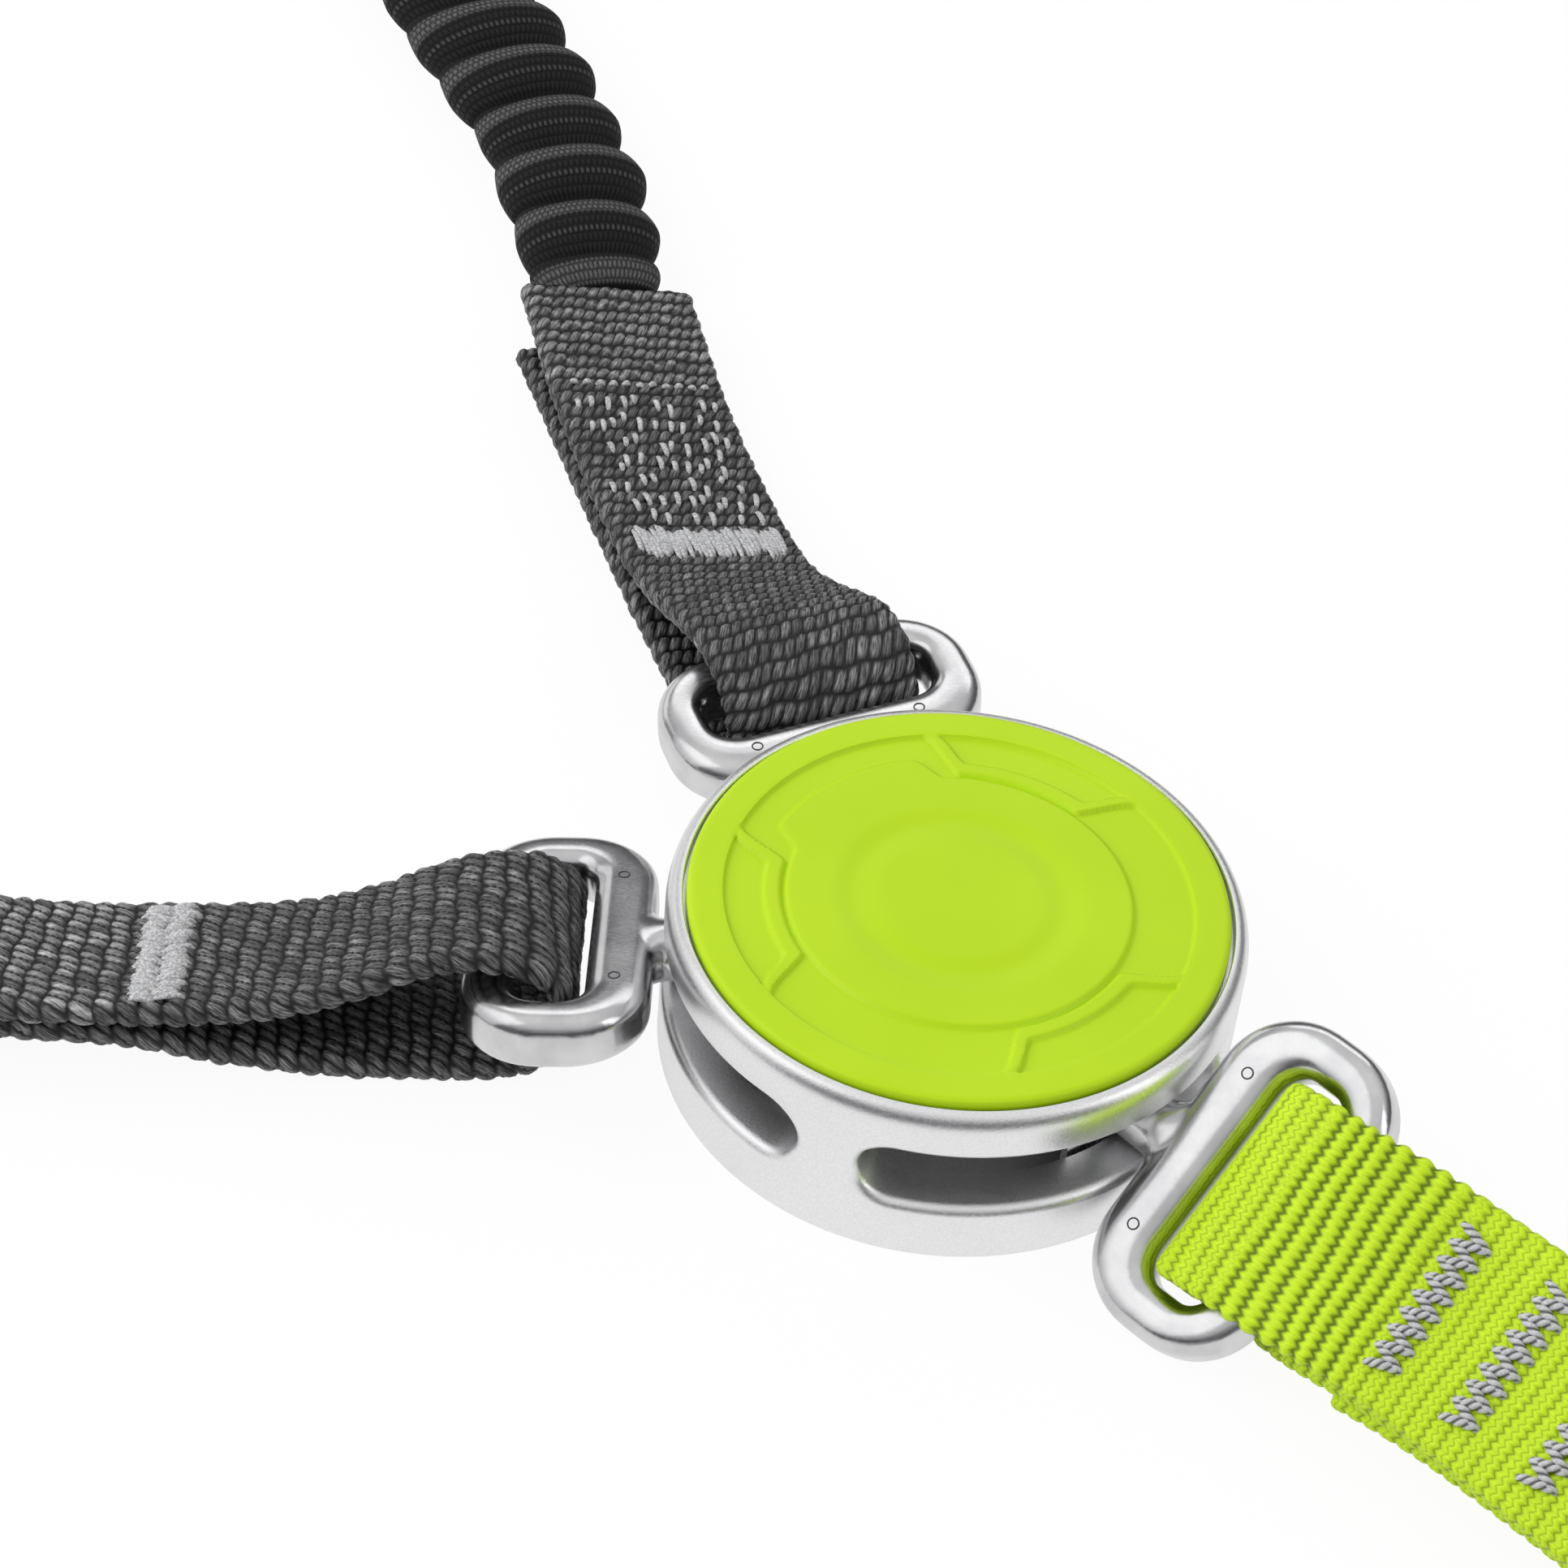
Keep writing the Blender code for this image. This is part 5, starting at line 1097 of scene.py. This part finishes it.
for arm, end in CARABINER_ENDS.items():
    axes = Matrix.Translation(end + Vector((0.0492, 0, BODY_DEPTH / 2)))
    path = [Vector((x * CARABINER_LENGTH, y * CARABINER_WIDTH, 0)) for x, y in smooth_line(FRAME_SHARES, 9)]
    tip = path[-1]
    rings = []
    for index, point in enumerate(path):
        tangent = (path[min(index + 1, len(path) - 1)] - path[max(index - 1, 0)]).normalized()
        share = max(0.0, min(1.0, (point.x / CARABINER_LENGTH - 0.13) / 0.13))
        deep = THIN_BAR + (BODY_DEPTH - THIN_BAR) * share * share * (3 - 2 * share)
        nose = max(0.0, min(1.0, 2 - (tip - point).length / NOSE_LENGTH))
        wide = BODY_WIDTH + (2 * GATE - BODY_WIDTH) * nose
        deep += (2 * GATE - deep) * nose
        corner = 0.0025 + (GATE - 0.0026) * nose
        outward = tangent.cross(UP).normalized()
        rings.append([point + outward * x + UP * y for x, y in rounded_outline(wide, deep, corner, 6)])
    body = lofted(f"{arm}_carabiner_body", rings)
    pivot = path[0] + Vector((GATE + FIT_GAP, 0, 0))
    tab = lofted(f"{arm}_tab", [
        [(x, y, z) for x, y in ([(-2 * GATE, 0.003), (-2 * GATE, -0.003)] + [
            (0.003 * sin(pi * step / 20), -0.003 * cos(pi * step / 20)) for step in range(21)])]
        for z in (-HINGE_TAB / 2, HINGE_TAB / 2)
    ])
    tab.data.transform(Matrix.Translation(pivot))
    joined_with(body, tab)
    smooth_by_angle(body, 40)
    body.data.transform(axes)
    body.data.materials.append(anodised)
    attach(body, f"{arm}_carabiner")
    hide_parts(f"{arm}_carabiner_frame")

    length = tip.x - pivot.x - FIT_GAP
    hinge = axes @ Matrix.Translation(pivot)
    end_curve = [(GATE - 0.0006 + 0.0006 * cos(turn), length - 0.0006 + 0.0006 * sin(turn))
                 for turn in (pi / 2 * step / 5 for step in range(6))]
    gate = spun(f"{arm}_gate_bar", [(0, -FIT_GAP), (GATE, -FIT_GAP), *end_curve, (0, length)], 64,
                turn_along)
    joined_with(gate, spun(f"{arm}_knuckle", [
        (0, -0.0031), (0.0037, -0.0031), (0.0041, -0.0027), (0.0041, 0.0027), (0.0037, 0.0031), (0, 0.0031),
    ], 64))
    joined_with(gate, lofted(f"{arm}_gate_slot", [
        [(x, y, z) for x, y in ((-0.009, -0.009), (0.0033, -0.009), (0.0033, 0.009), (-0.009, 0.009))]
        for z in (-HINGE_SLOT / 2, HINGE_SLOT / 2)
    ]), "DIFFERENCE")
    smooth_by_angle(gate, 35)
    gate.data.transform(hinge)
    gate.data.materials.append(forged)
    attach(gate, f"{arm}_gate_body")
    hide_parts(f"{arm}_gate")

    sleeve_end = length - 0.0035
    sleeve_start = sleeve_end - SLEEVE_LENGTH
    profile = [(SLEEVE_BORE, sleeve_start), (SLEEVE_RADIUS - 0.0003, sleeve_start),
               (SLEEVE_RADIUS, sleeve_start + 0.0003)]
    for groove in range(SLEEVE_GROOVES):
        start = sleeve_start + 0.0022 + GROOVE_PITCH * groove
        profile += [(SLEEVE_RADIUS, start), (SLEEVE_RADIUS - 0.0004, start + 0.0003),
                    (SLEEVE_RADIUS - 0.0004, start + 0.0007), (SLEEVE_RADIUS, start + 0.0010)]
    profile += [(SLEEVE_RADIUS, sleeve_end - 0.0003), (SLEEVE_RADIUS - 0.0003, sleeve_end),
                (SLEEVE_BORE, sleeve_end)]
    sleeve = spun(f"{arm}_knurled_sleeve", profile, 72, hinge @ turn_along)
    smooth_by_angle(sleeve, 30)
    sleeve.data.materials.append(steel)
    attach(sleeve, f"{arm}_sleeve_body")
    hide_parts(f"{arm}_lock_sleeve")
    dress([f"{arm}_gate_pin", f"{arm}_gate_plunger", f"{arm}_gate_spring"], steel)

    centres = [end + Vector((distance * MM, 0, rise * MM))
               for distance, rise in smooth_line(END_LOOP_ROUTE, 16)]
    lay = Lay(centres, [Vector((0, 1, 0))] * len(centres), ARM_RIB / 6)
    loop = skin(f"{arm}_end_webbing", lay, flat_section(ARM_WIDTH, END_LOOP_THICKNESS, 52, 7),
                woven_arm(lambda along: (0.06, 0.0)), arm_yarns)
    loop.data.materials.append(black)
    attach(loop, f"{arm}_carabiner")
    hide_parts(f"{arm}_end_loop")
    end_tack = []
    for row in range(46):
        across = -0.0074 + 0.0148 * row / 45
        start, stop = 0.0055 + pick.uniform(-0.0004, 0.0004), 0.0079 + pick.uniform(-0.0004, 0.0004)
        end_tack.append(((start, across), (stop, across + 0.0002), 0.0010))
    tack = stitches(f"{arm}_end_tack", lay, end_tack, 0.0003, face=1)
    tack.data.materials.append(tack_grey)
    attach(tack, f"{arm}_carabiner")

    wall, hole = rounded_outline(*KEEPER_OUTLINE, 5), rounded_outline(*KEEPER_HOLE, 5)
    rings = [[end + Vector((x, y * scale, KEEPER_HEIGHT + z * scale)) for y, z in wall]
             for x, scale in KEEPER_STEPS]
    rings += [[end + Vector((x, y, KEEPER_HEIGHT + z)) for y, z in hole]
              for x in (KEEPER_STEPS[-1][0], KEEPER_STEPS[0][0])]
    keeper = lofted(f"{arm}_rubber_keeper", rings, closed=True)
    smooth_by_angle(keeper, 40)
    keeper.data.materials.append(rubber)
    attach(keeper, f"{arm}_carabiner")
    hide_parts(f"{arm}_keeper")


# Energy absorber. A pouch of coarse cloth with corded seams along its four edges, a zip along its
# upper side, and inside it the webbing that tears open in a fall, laid in folds.
POUCH_LENGTH = 0.105
POUCH_WIDTH = 0.052
POUCH_HEIGHT = 0.030
POUCH_WALL = 0.0013
MOUTH_WIDTH = 0.0233
MOUTH_LENGTH = 0.0135
POUCH_YARN = 0.0009
SEAM_CORD = 0.0011
strap_way = RIM_POINT["strap"].normalized()
pouch_axes = axes_at(strap_way * 0.1 + UP * POUCH_HEIGHT / 2, strap_way, UP.cross(strap_way))
pouch_side = pouch_axes.to_3x3() @ Vector((0, 1, 0))

cordura, cordura_shader = finish("pouch_cordura", (0.035, 0.035, 0.038), 0.78)
turned_place = cordura_shader.node("ShaderNodeMapping", None, {
    "Vector": cordura_shader.places(), "Rotation": (0, 0, radians(41.5))})
over = turned_place.node("ShaderNodeSeparateXYZ", None, {0: turned_place})
run_x, run_y = over / POUCH_YARN, over.other(1) / POUCH_YARN
odd = ((run_x.whole() + run_y.whole()) * 0.5).fraction() * 2
warp = 1 - (run_x.fraction() * 2 - 1) ** 2
weft = 1 - (run_y.fraction() * 2 - 1) ** 2
cloth_yarn = warp * odd + weft * (1 - odd)
fuzz = cordura_shader.places().noise(5000.0, 3.0)
# Painted shade: the cloth is near black where each yarn falls away into the gaps of the weave, lighter on
# the yarns' crests.
feed(cordura_shader,
     Base_Color=(cloth_yarn * (fuzz + 0.4)).blend((0.008, 0.008, 0.009, 1), (0.060, 0.060, 0.064, 1)),
     Normal=(cloth_yarn + fuzz * 0.3).bump(0.8, 0.0002))

outer, inner = [], []
for step in range(61):
    x = POUCH_LENGTH * step / 60
    swell = sin(pi / 2 * min(1.0, min(x, POUCH_LENGTH - x) / MOUTH_LENGTH)) ** 0.8
    mouth_height = 0.0057 + (0.0022 if x > POUCH_LENGTH / 2 else 0)
    wide = MOUTH_WIDTH + (POUCH_WIDTH - MOUTH_WIDTH) * swell
    high = mouth_height + (POUCH_HEIGHT - mouth_height) * swell
    corner = min(0.009, high / 2 - 0.0016)
    ring = []
    for y, z in rounded_outline(wide, high, corner, 10):
        flutter = 0.00022 * sin(x * 310 + y * 170) * sin(y * 240 + z * 90 + x * 60) * swell
        ring.append((x, y * (1 + flutter / 0.02), z * (1 + flutter / 0.015)))
    outer.append(ring)
    inner.append([(x, y, z) for y, z in rounded_outline(
        wide - 2 * POUCH_WALL, high - 2 * POUCH_WALL, max(0.0003, corner - POUCH_WALL), 10)])
pouch = lofted("absorber_pouch_shell", outer + inner[::-1], closed=True)
smooth_by_angle(pouch, 50)
pouch.data.transform(pouch_axes)
pouch.data.materials.append(cordura)
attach(pouch, "hub")
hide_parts("absorber_pouch")

for corner in range(4):
    rings = []
    for station in range(61):
        before, here, after = (Vector(outer[place][corner * 11 + 5])
                               for place in (max(station - 1, 0), station, min(station + 1, 60)))
        along = after - before
        flank = along.cross(Vector((0, here.z, -here.y))).normalized()
        across = along.cross(flank).normalized()
        turns = [2 * pi * step / 14 for step in range(14)]
        rings.append([here + (flank * cos(turn) + across * sin(turn)) * SEAM_CORD for turn in turns])
    seam = lofted(f"pouch_corded_seam_{corner + 1}", rings)
    smooth_by_angle(seam, 50)
    seam.data.transform(pouch_axes)
    seam.data.materials.append(rubber)
    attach(seam, "hub")

ZIP_LENGTH = 0.0679
TOOTH_PITCH = 0.00125
TAPE_WIDTH = 0.016
TAPE_THICKNESS = 0.0006
zip_start = (POUCH_LENGTH - ZIP_LENGTH) / 2
tape_run = [zip_start - 0.004 + (ZIP_LENGTH + 0.008) * step / 60 for step in range(61)]
tape_lay = Lay([pouch_axes @ Vector((x, 0, POUCH_HEIGHT / 2 + 0.0004)) for x in tape_run],
               [pouch_side] * 61, 0.0005)
tape = skin("zip_cloth_tape", tape_lay, flat_section(TAPE_WIDTH, TAPE_THICKNESS, 30, 3),
            woven_arm(lambda along: (0.0, 0.0)))
tape.data.materials.append(cordura)
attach(tape, "hub")
points, faces = [], []
for tooth in range(int(ZIP_LENGTH / TOOTH_PITCH)):
    x, y, first = zip_start + (tooth + 0.5) * TOOTH_PITCH, (0.0006 if tooth % 2 else -0.0006), len(points)
    for lift, scale in ((0.0, 1.0), (0.0009, 0.7)):
        for dx, dy in ((-1, -1), (1, -1), (1, 1), (-1, 1)):
            points.append(pouch_axes @ Vector((x + dx * scale * 0.00045, y + dy * scale * 0.0014,
                                               POUCH_HEIGHT / 2 + 0.0006 + lift)))
    faces += [tuple(first + corner for corner in face) for face in (
        (3, 2, 1, 0), (4, 5, 6, 7), (0, 1, 5, 4), (1, 2, 6, 5), (2, 3, 7, 6), (3, 0, 4, 7))]
teeth = mesh_piece("zip_teeth", points, faces)
smooth_by_angle(teeth, 30)
teeth.data.materials.append(moulded)
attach(teeth, "hub")
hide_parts("zip_tape")
dress(["zip_slider", "zip_pull"], steel)

TEAR_WIDTH = 0.032
TEAR_THICKNESS = 0.0009
PACK_MARGIN = 0.0019
LAYER_ROOM = 0.00095
FOLDS = 10
FOLD_LENGTH = 0.066
stack = POUCH_HEIGHT - 2 * PACK_MARGIN - LAYER_ROOM
fold_pitch = stack / (FOLDS - 1)
pack_route = []
for layer in range(FOLDS):
    z = layer * fold_pitch - stack / 2
    forward = layer % 2 == 0
    run = [((POUCH_LENGTH - FOLD_LENGTH) / 2 + FOLD_LENGTH * step / 24, z) for step in range(25)]
    run = run if forward else run[::-1]
    pack_route += run
    if layer < FOLDS - 1:
        reach = fold_pitch / 2 if forward else -fold_pitch / 2
        turns = [pi * step / 8 for step in range(1, 8)]
        pack_route += [(run[-1][0] + reach * sin(turn), z + fold_pitch / 2 * (1 - cos(turn)))
                       for turn in turns]
pack_lay = Lay([pouch_axes @ Vector((x, 0, z)) for x, z in pack_route],
               [pouch_side] * len(pack_route), 0.0012)
tear = skin("folded_tear_webbing", pack_lay, flat_section(TEAR_WIDTH, TEAR_THICKNESS, 24, 3),
            corrugated(lambda along: 0 * along), yarn_count(TEAR_WIDTH, TEAR_THICKNESS, 40, 2))
tear.data.materials.append(lime)
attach(tear, "hub")
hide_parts("tear_webbing")


# Tie-in loop. The strap leaves the pouch doubled and opens into the loop that the harness goes
# through, sewn just past the pouch with the same grey zigzag.
TIE_LOOP_ROUTE = (
    (-12, 16.1), (-5, 16.1), (2, 16.1), (10, 15.5), (22, 14.1), (38, 12.9), (56, 13.4),
    (68, 14.4), (78, 13), (83, 8.2), (79.5, 3.2), (70, 1.5), (54, 1.4), (38, 2.2), (26, 5.2),
    (16, 9.6), (8, 13.0), (2, 13.9), (-5, 13.9), (-12, 13.9),
)
centres = [pouch_axes @ Vector((POUCH_LENGTH + distance * MM, 0, rise * MM - POUCH_HEIGHT / 2))
           for distance, rise in smooth_line(TIE_LOOP_ROUTE, 16)]
tie_lay = Lay(centres, [pouch_side] * len(centres), STRAP_RIB / 4)
tie_loop = skin("tie_in_webbing", tie_lay, strap_section, corrugated(lambda along: 0.4 + 0 * along),
                strap_yarns)
tie_loop.data.materials.append(lime)
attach(tie_loop, "hub")
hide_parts("tie_in_loop")
tie_tack = stitches("tie_in_zigzag_tack", tie_lay, zigzag(0.0155, 9, 0.0032, strap_top), 0.0004,
                    face=1, plies=4, sides=10, steps=20)
tie_tack.data.materials.append(twisted)
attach(tie_tack, "hub")
